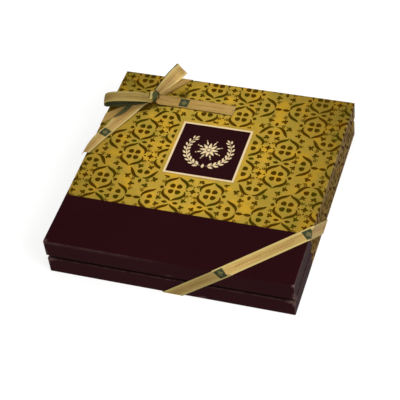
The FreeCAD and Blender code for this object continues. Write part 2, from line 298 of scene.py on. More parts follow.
def paper(name, tone, tone2, rough=(0.45, 0.6), metal=0.0, shine=0.35, fibre=0.10, scuff_and_highlight_tone=None, broad=0.5, edge=None, patches=None, wall_shade=None, scuff_and_highlight_share=0.26, dim=None):
    """Coated or plain paper: broad tone drift, fine fibre mottling, a little tooth, and pale marks along edges that are
    partly scuffs and partly painted highlight; on request, painted shade on upright faces and towards the outer
    corners.
    """
    k = Mat(name)
    drift = k.noise(14.0, 2.0)
    grain = k.noise(1500.0, 4.0, 0.7)
    fibres = k.noise(900.0, 3.0, 0.6, k.stretch(1.0, 0.22, 1.0, (0, 0, 0.5)), 0.6)
    t = k.math("ADD", k.math("MULTIPLY", drift, broad), k.math("MULTIPLY", fibres, 1.0 - broad))
    colour = k.mix(k.span(t, 0.35, 0.65), tone, tone2)
    if patches is not None:  # warmer and greener places
        patch = k.noise(75.0, 3.0, 0.6)
        colour = k.mix(k.span(patch, 0.50, 0.66, 0.0, 0.75), colour, patches[0])
        colour = k.mix(k.span(patch, 0.34, 0.50, 0.75, 0.0), colour, patches[1])
    if dim is not None:  # painted shade: the colour darkens towards the outer corners, where the light falls off
        x, y, z = k.split(k.place())
        y = k.math("ADD", y, 0.010)
        d = k.math("SQRT", k.math("ADD", k.math("MULTIPLY", x, x), k.math("MULTIPLY", y, y)))
        colour = k.mix(k.span(d, 0.080, 0.152, 0.0, dim), colour, (0.0, 0.0, 0.0))
    # painted shade: faces that stand upright are darkened
    if wall_shade is not None:
        colour = k.painted_wall_shade(colour, wall_shade)
    # pale marks along edges and corners: partly scuffs, partly painted highlight on the rounded folds
    if scuff_and_highlight_tone is not None:
        scuff_and_highlight = k.math("MULTIPLY", k.attribute("wear_and_highlight"), k.span(k.noise(300.0, 4.0, 0.65), 0.30, 0.72, 0.25, 1.0), clamp=True)
        colour = k.mix(k.math("MULTIPLY", scuff_and_highlight, scuff_and_highlight_share), colour, scuff_and_highlight_tone)
    k.set(Base_Color=colour, Metallic=metal, Specular_IOR_Level=shine)
    if edge is not None:
        k.set(Specular_Tint=edge)
    k.set(Roughness=k.span(k.math("ADD", k.math("MULTIPLY", grain, 0.5), k.math("MULTIPLY", drift, 0.5)), 0.3, 0.7, rough[0], rough[1]))
    n = k.bump(grain, 0.35, fibre)
    k.bump(k.noise(55.0, 2.0), 0.18, 0.25, n)
    return k.m


# painted shade: the gold is darkened towards the lid's outer corners and on its upright faces
GOLD = paper("gold_paper", (0.410, 0.268, 0.034), (0.365, 0.246, 0.034), rough=(0.30, 0.37), metal=0.85, shine=0.25, fibre=0.03, scuff_and_highlight_tone=(0.80, 0.70, 0.45), edge=(0.62, 0.46, 0.16), patches=((0.515, 0.305, 0.020), (0.325, 0.240, 0.032)), wall_shade=(0.265, 0.235, 0.13), dim=0.32)
# painted shade: the ink is darkened on upright faces
INK = paper("ornament_ink", (0.058, 0.0275, 0.0006), (0.071, 0.0355, 0.0008), rough=(0.42, 0.55), metal=0.10, shine=0.0, fibre=0.03, patches=((0.077, 0.0270, 0.0008), (0.042, 0.0380, 0.0008)), wall_shade=(0.52, 0.40, 0.20))
MAROON = paper("maroon_paper", (0.0205, 0.0030, 0.0046), (0.0175, 0.0026, 0.0040), rough=(0.42, 0.55), shine=0.014, fibre=0.06, scuff_and_highlight_tone=(0.21, 0.135, 0.115), scuff_and_highlight_share=0.85)
# painted shade: the neck is made near black to stand for the shadow in the reveal between lid and base
NECK_PAINTED_SHADE = paper("neck_paper_painted_shade", (0.010, 0.006, 0.006), (0.014, 0.008, 0.008), rough=(0.6, 0.75), shine=0.2)
LINER = paper("liner_paper", (0.66, 0.54, 0.33), (0.58, 0.46, 0.27), rough=(0.6, 0.75), shine=0.2, fibre=0.15)
SHEET_DARK = paper("bottom_paper", (0.020, 0.006, 0.008), (0.016, 0.005, 0.006), rough=(0.55, 0.7), shine=0.2)
CREAM = paper("cream_border", (0.80, 0.62, 0.36), (0.74, 0.56, 0.31), rough=(0.45, 0.55), metal=0.1, shine=0.35, fibre=0.05)
LABEL_DARK = paper("label_ground", (0.0215, 0.0031, 0.0048), (0.0180, 0.0027, 0.0041), rough=(0.45, 0.55), shine=0.02, fibre=0.04)


def greyboard():
    k = Mat("greyboard")
    fl = k.noise(700.0, 5.0, 0.75)
    sp = k.cells(1400.0)
    c = k.mix(k.span(fl, 0.35, 0.68), (0.30, 0.28, 0.25), (0.44, 0.42, 0.38))
    c = k.mix(k.span(sp, 0.0, 0.18, 0.5, 0.0), c, (0.16, 0.15, 0.15))
    k.set(Base_Color=c, Roughness=0.92, Specular_IOR_Level=0.15)
    k.bump(fl, 0.5, 0.2)
    return k.m


def kraft():
    k = Mat("kraft_tape")
    fl = k.noise(500.0, 4.0, 0.7, k.stretch(1, 1, 0.2))
    k.set(Base_Color=k.mix(k.span(fl, 0.35, 0.65), (0.34, 0.22, 0.11), (0.44, 0.30, 0.16)), Roughness=0.8, Specular_IOR_Level=0.25)
    k.bump(fl, 0.3, 0.1)
    return k.m


def wear_nodes(mat, *names):
    for n in names:
        o = frame["nodes"][n]
        o = o if isinstance(o, bpy.types.Object) else bpy.data.objects[n]
        o.data.materials.clear()
        o.data.materials.append(mat)


# ------------------------------------------------------------------ the ornament
# A traditional ogee ornament: pointed medallions made of four tapered brackets round a quatrefoil,
# set two by two, with almond leaves, florets, buds and tendrils between, repeated on a half-drop.
PERIOD_X, PERIOD_Y = 95.5, 126.0
CLUSTER_AT = (46.1, 20.9)
MED = (15.3, 15.6)


def stroke(points, width, n=15, lean=0.9):
    """outline of a tapered brush stroke along a smooth curve"""
    mid = catmull([(x, y, 0.0) for x, y in points], n)
    left, right = [], []
    for i, p in enumerate(mid):
        a, b = mid[max(i - 1, 0)], mid[min(i + 1, n - 1)]
        dx, dy = b[0] - a[0], b[1] - a[1]
        l = math.hypot(dx, dy)
        s = i / (n - 1)
        w = 0.5 * width * (0.10 + 0.90 * max(math.sin(math.pi * min(max(s, 0.0), 1.0) ** lean), 0.0) ** 0.75)
        left.append((p[0] - dy / l * w, p[1] + dx / l * w))
        right.append((p[0] + dy / l * w, p[1] - dx / l * w))
    return left + right[::-1]


def drop(cx, cy, angle, length, width, n=18, m=1.15):
    a = math.radians(angle)
    c, s = math.cos(a), math.sin(a)
    out = []
    for i in range(n):
        f = 2 * math.pi * i / n
        x, y = 0.5 * length * math.cos(f), 0.5 * width * 1.25 * math.sin(f) * math.sin(f / 2) ** m
        out.append((cx + x * c - y * s, cy + x * s + y * c))
    return out


def almond(cx, cy, angle, length, width, n=14):
    a = math.radians(angle)
    c, s = math.cos(a), math.sin(a)
    out = []
    for i in range(n):
        t = 2.0 * i / n
        x = length * (0.5 - t) if t <= 1 else length * (t - 1.5)
        h = 0.5 * width * math.sin(math.pi * (t % 1.0)) ** 0.85
        y = h if t <= 1 else -h
        out.append((cx + x * c - y * s, cy + x * s + y * c))
    return out


def disc(cx, cy, r, n=12):
    return [(cx + r * math.cos(2 * math.pi * i / n), cy + r * math.sin(2 * math.pi * i / n)) for i in range(n)]


def bud(cx, cy, angle, size=1.0):
    size *= 0.86
    """three round leaves on a short bent stem"""
    a = math.radians(angle)
    out = []
    for turn, far, l, w in ((4, 1.75, 4.1, 3.1), (84, 1.35, 3.4, 2.7), (-78, 1.5, 3.7, 2.8)):
        t = a + math.radians(turn)
        out.append(drop(cx + size * far * math.cos(t), cy + size * far * math.sin(t), math.degrees(t) + 180, size * l, size * w, 14))
    stem = ((0.2, 0.0), (-1.1, 0.25), (-2.2, 0.95), (-2.9, 2.0))
    out.append(stroke([(cx + size * (x * math.cos(a) - y * math.sin(a)), cy + size * (x * math.sin(a) + y * math.cos(a))) for x, y in stem], 1.15 * size, 9))
    return out


def tendril(cx, cy, angle, hand, size=1.0):
    pts = []
    for i in range(7):
        f = math.radians(angle) + hand * math.radians(-60 + 50 * i)
        r = size * (2.15 - 0.10 * i)
        pts.append((cx + r * math.cos(f), cy + r * math.sin(f)))
    return [stroke(pts, 1.05 * size, 11), disc(cx, cy, 0.95 * size, 10)]


BRACKET = stroke([(0.2, 14.0), (1.7, 12.2), (4.0, 10.7), (6.7, 9.1), (8.8, 6.7), (9.5, 3.9), (8.5, 1.3)], 3.0)
FOIL = drop(2.75, 3.05, 224, 5.2, 4.9, 20, 0.70)
CAP = stroke([(12.4, 30.6), (10.5, 33.2), (8.7, 36.4), (6.5, 39.1), (3.8, 40.7), (0.9, 40.7)], 3.05)


def cluster():
    out = []
    for sx in (1, -1):
        for sy in (1, -1):
            quarter = []
            for tx in (1, -1):
                for ty in (1, -1):
                    for shape in (BRACKET, FOIL):
                        quarter.append([(MED[0] + tx * x, MED[1] + ty * y) for x, y in shape])
            quarter += [CAP, [(y, x) for x, y in CAP]]
            quarter.append(drop(2.9, 34.1, 128, 5.2, 4.8, 20, 0.75))
            quarter.append(drop(34.1, 2.95, 318, 5.2, 4.8, 20, 0.75))
            quarter += bud(4.5, 15.5 + 11.6, 66, 1.0) + bud(4.4, 4.3, -66, 0.95)
            quarter += tendril(3.5, 15.5 + 6.9, 200, 1, 0.9) + tendril(3.5, 15.5 - 6.9, 160, -1, 0.9)
            quarter += bud(26.3, 28.2, 114, 1.0) + bud(26.2, 4.2, -66, 0.95)
            quarter += tendril(26.7, 22.9, -20, -1, 0.9) + tendril(26.7, 8.5, 20, 1, 0.9)
            quarter += bud(36.3, 22.2, 150, 1.05) + bud(41.7, 13.4, 104, 1.05)
            quarter += tendril(42.9, 8.3, 60, 1, 0.9) + tendril(40.9, 20.3, 250, 1, 0.9)
            quarter.append(disc(26.9, 15.7, 1.75))
            quarter.append(disc(4.95, 15.5, 0.95, 9))
            out += [[(sx * x, sy * y) for x, y in q] for q in quarter]
        out.append(almond(sx * (MED[0] - 4.7), 0, 0, 5.4, 3.0))
        out.append(almond(sx * (MED[0] + 4.7), 0, 0, 5.4, 3.0))
        out.append(almond(sx * 44.2, 0, 0, 7.2, 3.4))
        out.append(almond(0, sx * 44.5, 90, 5.2, 3.1))
        for turn in (0, 90, 180, 270):
            t = math.radians(turn)
            out.append(drop(1.65 * math.cos(t), sx * 15.5 + 1.65 * math.sin(t), turn, 3.3, 2.6, 12))
        out.append(disc(0, sx * (15.5 + 5.0), 0.85, 9))
        out.append(disc(0, sx * (15.5 - 5.0), 0.85, 9))
    return out


def boxed(outline):
    """an outline turned counter-clockwise, with its box"""
    area = sum(a[0] * b[1] - b[0] * a[1] for a, b in zip(outline, outline[1:] + outline[:1]))
    p = outline if area > 0 else outline[::-1]
    xs, ys = [a for a, _ in p], [b for _, b in p]
    return p, (min(xs), min(ys), max(xs), max(ys))


def sow(shapes):
    made = []
    for i in range(-3, 4):
        for j in range(-3, 4):
            for half in (0, 1):
                ox = CLUSTER_AT[0] + PERIOD_X * (i + 0.5 * half)
                oy = CLUSTER_AT[1] + PERIOD_Y * (j + 0.5 * half)
                if abs(ox) < 210 and abs(oy) < 215:
                    made += [boxed([(x + ox, y + oy) for x, y in q]) for q in shapes]
    return made


ORNAMENT = sow(cluster())


def printed(x0, y0, x1, y1, bare=None, across=(), along=(), shapes=ORNAMENT):
    """A rectangle of the flat sheet with the ornament let into it: points, triangles and which of them carry ink.
    bare is a rectangle kept free of ornament; across and along are extra lines at given y and x."""
    verts = [Vector(p) for p in ((x0, y0), (x1, y0), (x1, y1), (x0, y1))]
    faces = [[0, 1, 2, 3]]
    edges = []
    for y in across:
        edges.append((len(verts), len(verts) + 1))
        verts += [Vector((x0, y)), Vector((x1, y))]
    for x in along:
        edges.append((len(verts), len(verts) + 1))
        verts += [Vector((x, y0)), Vector((x, y1))]
    bare_id = None
    if bare is not None:
        bare_id = len(faces)
        i = len(verts)
        verts += [Vector(p) for p in ((bare[0], bare[1]), (bare[2], bare[1]), (bare[2], bare[3]), (bare[0], bare[3]))]
        faces.append([i, i + 1, i + 2, i + 3])
    for p, b in shapes:
        if b[0] < x1 and b[2] > x0 and b[1] < y1 and b[3] > y0:
            i = len(verts)
            verts += [Vector(q) for q in p]
            faces.append(list(range(i, i + len(p))))
    v, _, f, _, _, of = geometry.delaunay_2d_cdt(verts, edges, faces, 1, 1e-5, True)
    tris, ink = [], []
    for t, own in zip(f, of):
        if 0 not in own:
            continue
        tris.append(t)
        ink.append(1 if len(own) > 1 and bare_id not in own else 0)
    used = sorted({i for t in tris for i in t})
    again = {old: new for new, old in enumerate(used)}
    return [(v[i].x, v[i].y) for i in used], [tuple(again[i] for i in t) for t in tris], ink


ARC = EDGE * math.pi / 2
SIDES = {"right": (1, 0), "left": (-1, 0), "back": (0, 1), "front": (0, -1)}


def fold(side, along, t, half, off=0.0, top=HEIGHT, r=EDGE):
    """A point of a wall flap: along the wall and t down from where the top's rounding starts."""
    a = half - r
    if t < r * math.pi / 2:
        an = t / r
        out, z = a + (r + off) * math.sin(an), top - r + (r + off) * math.cos(an)
    else:
        out, z = half + off, top - r - (t - r * math.pi / 2)
    dx, dy = SIDES[side]
    return (dx * out + abs(dy) * along, dy * out + abs(dx) * along, z)


def depth_at(z):
    return ARC + HEIGHT - EDGE - z


def flap(mesh, side, half, t0, t1, plain=False, off=0.0, lines=(), c0=None, c1=None, mats=(0, 1, 2)):
    """One wall of a wrap. Gold with the ornament, or plain; c0 to c1 is its stretch along the wall."""
    a = half - EDGE
    c0, c1 = -a if c0 is None else c0, a if c1 is None else c1
    dx, dy = SIDES[side]
    if plain:
        n = 40
        ts = sorted({t0, t1, *[t for t in lines if t0 < t < t1]})
        cs = {c0 + (c1 - c0) * i / n for i in range(n + 1)}
        for end, way in ((c0, 1), (c1, -1)):  # finer next to a corner
            if abs(abs(end) - a) < 1e-6:
                cs |= {end + way * k for k in (0.5, 1.2, 2.4, 4.0, 6.0, 8.0)}

        # pale marks: scuffs at the corners, and on the lid's rounded front top edge a pale line fading out to the
        # right, which is painted highlight
        def scuff_and_highlight(c, t):
            near = 1.0 - smoothstep(0.0, 2.0, a - abs(c))
            if t0 == 0.0:  # the lid: its top corner and the foot of its edge
                deep = max(1.0 - smoothstep(0.5, 4.0, t), smoothstep(8.0, t1, t))
            else:  # the base: its upper corner and the rim beside it
                deep = 1.0 - smoothstep(1.0, 6.0, t - t0)
                beside = (1.0 - smoothstep(3.0, 8.0, a - abs(c))) * (1.0 - smoothstep(0.4, 2.4, t - t0))
                return max(0.85 * near * deep, 0.85 * beside)
            return max(0.85 * near * deep, 0.22 - 0.22 * smoothstep(-60.0, 20.0, c) if 0 < t < ARC * 1.01 else 0.0)

        rows = []
        for t in ts:
            rows.append([mesh.vert(fold(side, c, t, half, off), scuff_and_highlight(c, t)) for c in sorted(cs)])
        mesh.grid(rows, mats[2], flip=side in ("right", "front") and True or False)
        return
    if dx:
        box = (min(dx * (a + t0), dx * (a + t1)), c0, max(dx * (a + t0), dx * (a + t1)), c1)
        v, f, ink = printed(*box, along=[dx * (a + t) for t in lines if t0 < t < t1])
    else:
        box = (c0, min(dy * (a + t0), dy * (a + t1)), c1, max(dy * (a + t0), dy * (a + t1)))
        v, f, ink = printed(*box, across=[dy * (a + t) for t in lines if t0 < t < t1])
    ids = []
    for x, y in v:
        t = (dx * x if dx else dy * y) - a
        # the rounded top edge is marked pale all along: painted highlight, with scuffs
        ids.append(mesh.vert(fold(side, y if dx else x, t, half, off), 1.0 if 1e-4 < t < ARC * 1.01 else 0.0))
    for t, k in zip(f, ink):
        mesh.face([ids[i] for i in t], mats[1] if k else mats[0])


def corner_posts(mesh, half, z0, z1, r, gold, brown, cap=None, steps=4, wear_and_highlight=0.8):
    """The rounded upright corners, and their rounded ends at the top (cap 1) or the bottom (cap -1)."""
    a = half - r
    for sx in (1, -1):
        for sy in (1, -1):
            mat = brown if sy < 0 else gold
            rows = []
            # pale at both ends of each rounded corner: scuffs and painted highlight
            for z, w in ((z1, 1.0), (0.75 * z1 + 0.25 * z0, 0.45), (0.5 * (z0 + z1), 0.35), (0.25 * z1 + 0.75 * z0, 0.55), (z0, wear_and_highlight)):
                rows.append([mesh.vert((sx * (a + r * math.cos(f)), sy * (a + r * math.sin(f)), z), w) for f in [math.pi / 2 * i / steps for i in range(steps + 1)]])
            mesh.grid(rows, mat, flip=sx * sy > 0)
            if cap:
                zc = z1 if cap > 0 else z0
                rows = []
                for j in range(steps):
                    g = math.pi / 2 * j / steps
                    rows.append([mesh.vert((sx * (a + r * math.cos(g) * math.cos(f)), sy * (a + r * math.cos(g) * math.sin(f)), zc + cap * r * math.sin(g)), 1.0) for f in [math.pi / 2 * i / steps for i in range(steps + 1)]])
                mesh.grid(rows, mat, flip=(sx * sy < 0) == (cap > 0))
                tip = mesh.vert((sx * a, sy * a, zc + cap * r), 1.0)
                for p, q in zip(rows[-1], rows[-1][1:]):
                    mesh.face((p, q, tip) if (sx * sy > 0) == (cap > 0) else (q, p, tip), mat)


def turn_in(mesh, half, inner, rim, way, deep, gold, brown):
    """The wrap turned over a rim: across the board's edge and down (or up) its inside. way is +1 for an upper rim."""
    r = 0.2
    prof = [(half, rim - way * r)]
    for i in range(1, 4):
        f = math.pi / 2 * i / 3
        prof.append((half - r + r * math.cos(f), rim - way * r + way * r * math.sin(f)))
    for i in range(0, 4):
        f = math.pi / 2 * i / 3
        prof.append((inner + r - r * math.sin(f), rim - way * r + way * r * math.cos(f)))
    prof.append((inner, rim - way * deep))

    def places(lo_c, hi_c, o):  # finer next to the corners
        n = 24
        cs = [lo_c + (hi_c - lo_c) * i / n for i in range(n + 1)]
        head = [lo_c + k for k in (2.0, 4.0, 6.0)] if abs(lo_c + o) < 1e-6 else []
        tail = [hi_c - k for k in (6.0, 4.0, 2.0)] if abs(hi_c - o) < 1e-6 else []
        return sorted([*cs, *head, *tail])

    for name, (dx, dy) in SIDES.items():
        runs = [(-1.0, 1.0, brown if name == "front" else gold)]
        if dx:
            runs = [(-1.0, None, brown), (None, 1.0, gold)]
        for lo, hi, mat in runs:
            rows = []
            for j, (o, z) in enumerate(prof):
                lo_c = BAND_Y if lo is None else lo * o
                hi_c = BAND_Y if hi is None else hi * o
                rows.append([mesh.vert((dx * o + abs(dy) * c, dy * o + abs(dx) * c, z), 0.25 + 0.75 * (way > 0) * (1.0 - smoothstep(1.0, 9.0, o - abs(c))) if j < 4 else 0.0) for c in places(lo_c, hi_c, o)])
            mesh.grid(rows, mat, flip=(name in ("left", "back")) != (way < 0))


TOP_LINES = [ARC * k / 3 for k in (1, 2, 3)]


def face_out(o, centre=(0, 0, 0)):
    """Turns every face's normal to the consistent outside."""
    import bmesh

    bm = bmesh.new()
    bm.from_mesh(o.data)
    bmesh.ops.recalc_face_normals(bm, faces=bm.faces)
    bm.to_mesh(o.data)
    bm.free()


def build_lid_wrap():
    k = Mesh()
    a = LID_HALF - EDGE
    lx, ly = LABEL_AT
    m = LABEL_SIDE / 2 + 3.0
    v, f, ink = printed(-a, BAND_Y, a, a, bare=(lx - m, ly - m, lx + m, ly + m))
    ids = [k.vert((x, y, HEIGHT)) for x, y in v]
    for t, i in zip(f, ink):
        k.face([ids[q] for q in t], 1 if i else 0)
    n = 60
    rows = [[k.vert((-a + 2 * a * i / n, y, HEIGHT)) for i in range(n + 1)] for y in [-a + (BAND_Y + a) * j / 16 for j in range(17)]]
    k.grid(rows, 2)
    low = depth_at(LID_RIM + 0.2)
    flap(k, "back", LID_HALF, 0.0, low, lines=TOP_LINES)
    flap(k, "front", LID_HALF, 0.0, low, plain=True, lines=[*TOP_LINES, *[ARC + (low - ARC) * i / 5 for i in range(1, 5)]])
    for side in ("left", "right"):
        flap(k, side, LID_HALF, 0.0, low, lines=TOP_LINES, c0=BAND_Y)
        flap(k, side, LID_HALF, 0.0, low, plain=True, lines=[*TOP_LINES, *[ARC + (low - ARC) * i / 5 for i in range(1, 5)]], c1=BAND_Y)
    corner_posts(k, LID_HALF, LID_RIM + 0.2, HEIGHT - EDGE, EDGE, 0, 2, cap=1, wear_and_highlight=1.0)
    turn_in(k, LID_HALF, 102.65, LID_RIM, -1, 12.0, 0, 2)
    return k.make("lid_wrap_print", [GOLD, INK, MAROON], wear_and_highlight=True, weld=0.002)


def build_base_wrap():
    k = Mesh()
    a = BASE_HALF - EDGE
    high, low = depth_at(BASE_RIM - 0.2), depth_at(SHEET + EDGE)
    flap(k, "back", BASE_HALF, high, low)
    flap(k, "front", BASE_HALF, high, low, plain=True, lines=[high + 0.6, high + 1.4, high + 2.4, *[high + (low - high) * i / 5 for i in range(1, 5)]])
    for side in ("left", "right"):
        flap(k, side, BASE_HALF, high, low, c0=BAND_Y)
        flap(k, side, BASE_HALF, high, low, plain=True, c1=BAND_Y, lines=[high + 0.6, high + 1.4, high + 2.4, *[high + (low - high) * i / 5 for i in range(1, 5)]])
    corner_posts(k, BASE_HALF, SHEET + EDGE, BASE_RIM - 0.2, EDGE, 0, 2, cap=-1, wear_and_highlight=0.3)
    # rounded under the bottom edge, then flat to where the bottom sheet covers it
    prof = [(a + EDGE * math.cos(f), SHEET + EDGE - EDGE * math.sin(f)) for f in [math.pi / 2 * i / 3 for i in range(4)]] + [(BASE_HALF - 17.0, SHEET)]
    for name, (dx, dy) in SIDES.items():
        runs = [(-1.0, 1.0, 2 if name == "front" else 0)]
        if dx:
            runs = [(-1.0, None, 2), (None, 1.0, 0)]
        for lo, hi, mat in runs:
            rows = []
            for j, (o, z) in enumerate(prof):
                lo_c = BAND_Y if lo is None else lo * min(o, a)
                hi_c = BAND_Y if hi is None else hi * min(o, a)
                rows.append([k.vert((dx * o + abs(dy) * c, dy * o + abs(dx) * c, z), 1.0 if j < 4 else 0.0) for c in [lo_c + (hi_c - lo_c) * i / 24 for i in range(25)]])
            k.grid(rows, mat, flip=name in ("left", "back"))
    turn_in(k, BASE_HALF, 102.35, BASE_RIM, 1, 12.0, 0, 2)
    return k.make("base_wrap_print", [GOLD, INK, MAROON], wear_and_highlight=True, weld=0.002)


lid_wrap = build_lid_wrap()
face_out(lid_wrap)
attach(lid_wrap, "lid")
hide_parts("lid_wrap")
base_wrap = build_base_wrap()
face_out(base_wrap)
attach(base_wrap, "base")
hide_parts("base_wrap")

BOARD = greyboard()
wear_nodes(BOARD, "base_board", "lid_board", "neck_frame")
wear_nodes(kraft(), "base_corner_stays", "lid_corner_stays")
wear_nodes(NECK_PAINTED_SHADE, "neck_wrap")
wear_nodes(LINER, "lid_liner", "base_liner")
wear_nodes(SHEET_DARK, "base_bottom_sheet")

# ------------------------------------------------------------------ label

def label_ornament():
    """A rosette inside an open wreath of leaves: a plain filler of no particular house."""
    cy = 1.5
    out = [disc(0, cy, 1.5, 16)]
    for i in range(8):
        a = 45 * i
        c, t = math.cos(math.radians(a)), math.sin(math.radians(a))
        out.append(drop(5.2 * c, cy + 5.2 * t, a, 6.4, 2.9))
        a += 22.5
        c, t = math.cos(math.radians(a)), math.sin(math.radians(a))
        out.append(almond(8.3 * c, cy + 8.3 * t, a, 4.6, 1.3))
        out.append(disc(11.4 * c, cy + 11.4 * t, 0.55, 9))
    far = 19.2
    for sx in (1, -1):
        half = [stroke([(far * math.cos(math.radians(a)), cy + far * math.sin(math.radians(a))) for a in (-83, -60, -35, -10, 15, 38)], 0.9, 25)]
        for i in range(9):
            a = -76 + 13.5 * i
            for turn, r in ((34, far - 1.75), (-30, far + 1.9)):
                t = math.radians(a + 5)
                half.append(almond(r * math.cos(t), cy + r * math.sin(t), a + 95 + turn, 5.0 - 0.12 * i, 2.1 - 0.06 * i))
        t = math.radians(43)
        half.append(almond(far * math.cos(t), cy + far * math.sin(t), 134, 4.6, 1.6))
        out += [[(sx * x, y) for x, y in q] for q in half]
    out.append(almond(0, cy - far, 90, 5.0, 2.4))
    return [boxed(q) for q in out]


def build_label():
    k = Mesh()
    lx, ly = LABEL_AT
    h, hi = LABEL_SIDE / 2, LABEL_SIDE / 2 - 1.9
    z0, z1, zr = HEIGHT, HEIGHT + LABEL_T, HEIGHT + LABEL_T - 0.1
    # the card's edge, its border and the step down to the ground, as square rings
    prof = [(h, z0, 0), (h, z1 - 0.08, 0), (h - 0.03, z1 - 0.03, 0), (h - 0.09, z1, 0), (h - 0.6, z1, 0), (hi + 0.5, z1, 0), (hi + 0.08, z1, 0), (hi + 0.03, z1 - 0.03, 0), (hi, zr + 0.02, 0), (hi - 0.02, zr, 0)]
    n = 24
    rows = []
    for o, z, _ in prof:
        ring = []
        for a, b in (((1, -1), (1, 1)), ((1, 1), (-1, 1)), ((-1, 1), (-1, -1)), ((-1, -1), (1, -1))):
            ring += [(lx + o * (a[0] + (b[0] - a[0]) * i / n), ly + o * (a[1] + (b[1] - a[1]) * i / n), z) for i in range(n)]
        rows.append([k.vert(q) for q in ring])
    k.grid(rows[:3], 2, close=True)
    k.grid(rows[2:], 1, close=True)
    e = hi - 0.02
    v, f, ink = printed(-e, -e, e, e, shapes=label_ornament())
    ids = [k.vert((lx + x, ly + y, zr)) for x, y in v]
    for t, i in zip(f, ink):
        k.face([ids[q] for q in t], 1 if i else 0)
    k.face([k.vert((lx + x * h, ly + y * h, z0)) for x, y in ((-1, -1), (-1, 1), (1, 1), (1, -1))], 2)
    return k.make("label_card", [LABEL_DARK, CREAM, CARD])


CARD = paper("card_edge", (0.55, 0.45, 0.30), (0.48, 0.39, 0.26), rough=(0.6, 0.75), shine=0.2)
label = build_label()
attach(label, "lid")
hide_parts("lid_label")

# ------------------------------------------------------------------ ribbon
BLOCK_EVERY = 80.0


def ribbon_stuff(name, light, dark, motif, edge_highlight=None, wall_shade=0.74):
    """Satin: lengthwise threads, a darker selvedge, and on the face a row of lozenges between plain woven blocks."""
    k = Mat(name)
    u, v = k.uv()
    n = k.nt.nodes.new("ShaderNodeCombineXYZ")
    k.put(n.inputs[0], k.math("MULTIPLY", u, 90.0))
    k.put(n.inputs[1], k.math("MULTIPLY", v, 2600.0))
    threads = k.noise(1.0, 3.0, 0.6, n.outputs[0])
    m = k.nt.nodes.new("ShaderNodeCombineXYZ")
    k.put(m.inputs[0], k.math("MULTIPLY", u, 3200.0))
    k.put(m.inputs[1], k.math("MULTIPLY", v, 220.0))
    weft = k.noise(1.0, 2.0, 0.5, m.outputs[0])
    colour = k.mix(k.span(k.math("ADD", k.math("MULTIPLY", threads, 0.6), k.math("MULTIPLY", k.noise(45.0, 2.0), 0.4)), 0.36, 0.64), dark, light)
    w = k.nt.nodes.new("ShaderNodeCombineXYZ")
    k.put(w.inputs[0], k.math("MULTIPLY", u, 14.0))
    k.put(w.inputs[1], k.math("MULTIPLY", v, 400.0))
    streak = k.noise(1.0, 2.0, 0.55, w.outputs[0])
    colour = k.mix(k.span(streak, 0.52, 0.68, 0.0, 0.55), colour, tuple(1.42 * c for c in light))
    colour = k.mix(k.span(streak, 0.34, 0.49, 0.55, 0.0), colour, tuple(0.68 * c for c in dark))
    mid = k.math("ABSOLUTE", k.math("SUBTRACT", v, 0.5 * RIBBON_W * MM))
    colour = k.mix(k.span(mid, 0.0050, 0.0056, 0.0, 0.16), colour, tuple(0.45 * c for c in dark))
    if edge_highlight is not None:  # painted highlight: brighter towards both edges
        colour = k.mix(k.span(mid, 0.0030, 0.0050, 0.0, 0.55), colour, edge_highlight)
    if motif:
        at = k.math("MULTIPLY", k.math("ABSOLUTE", k.math("SUBTRACT", k.math("FRACT", k.math("ADD", k.math("DIVIDE", u, BLOCK_EVERY * MM), 0.5)), 0.5)), BLOCK_EVERY * MM)
        step = k.math("ABSOLUTE", k.math("SUBTRACT", k.math("FRACT", k.math("DIVIDE", u, 0.0023)), 0.5))
        loz = k.math("ADD", k.math("DIVIDE", step, 0.36), k.math("DIVIDE", mid, 0.0012))
        row = k.math("MULTIPLY", k.span(loz, 0.85, 1.1, 1.0, 0.0), k.math("MULTIPLY", k.span(at, 0.0125, 0.0130), k.span(at, 0.0360, 0.0365, 1.0, 0.0)))
        colour = k.mix(k.math("MULTIPLY", row, 0.55), colour, (0.23, 0.085, 0.030))
        block = k.math("MULTIPLY", k.span(at, 0.0040, 0.0043, 1.0, 0.0), k.span(mid, 0.0046, 0.0049, 1.0, 0.0))
        inner = k.span(k.math("ADD", k.math("DIVIDE", at, 0.0026), k.math("DIVIDE", mid, 0.0030)), 0.92, 1.06, 1.0, 0.0)
        green = k.mix(k.math("MULTIPLY", inner, 0.55), k.mix(threads, (0.038, 0.050, 0.024), (0.060, 0.072, 0.034)), (0.25, 0.21, 0.085))
        colour = k.mix(block, colour, green)
    # painted shade: the ribbon is darkened where it runs down a wall
    colour = k.painted_wall_shade(colour, (wall_shade, wall_shade, wall_shade))
    k.set(Base_Color=colour, Metallic=0.35, Specular_IOR_Level=0.05, Specular_Tint=(0.62, 0.40, 0.16))
    k.set(Roughness=k.span(threads, 0.3, 0.7, 0.36, 0.50))
    b = k.bump(threads, 0.25, 0.05)
    k.bump(weft, 0.25, 0.06, b)
    return k.m


# the ribbon's satin, then copies of it painted lighter or darker by where the light falls: painted shade for the left
# loop, painted highlight on the edges of the right loop and left tail, painted light on the front strap and the knot
FACE = ribbon_stuff("ribbon_face", (0.49, 0.312, 0.098), (0.38, 0.238, 0.068), True)
SHADED_FACE = ribbon_stuff("ribbon_face_painted_shade", (0.370, 0.264, 0.082), (0.265, 0.182, 0.050), True, (0.47, 0.375, 0.135))
LIT_EDGE_FACE = ribbon_stuff("ribbon_face_painted_edge_highlight", (0.515, 0.340, 0.118), (0.400, 0.258, 0.080), True, (0.66, 0.53, 0.21))
LIT_FACE = ribbon_stuff("ribbon_face_painted_light", (0.565, 0.385, 0.128), (0.440, 0.292, 0.090), True, (0.69, 0.565, 0.22), 0.57)
LIT_KNOT_FACE = ribbon_stuff("ribbon_face_knot_painted_light", (0.66, 0.50, 0.165), (0.52, 0.38, 0.112), False, (0.80, 0.69, 0.28))
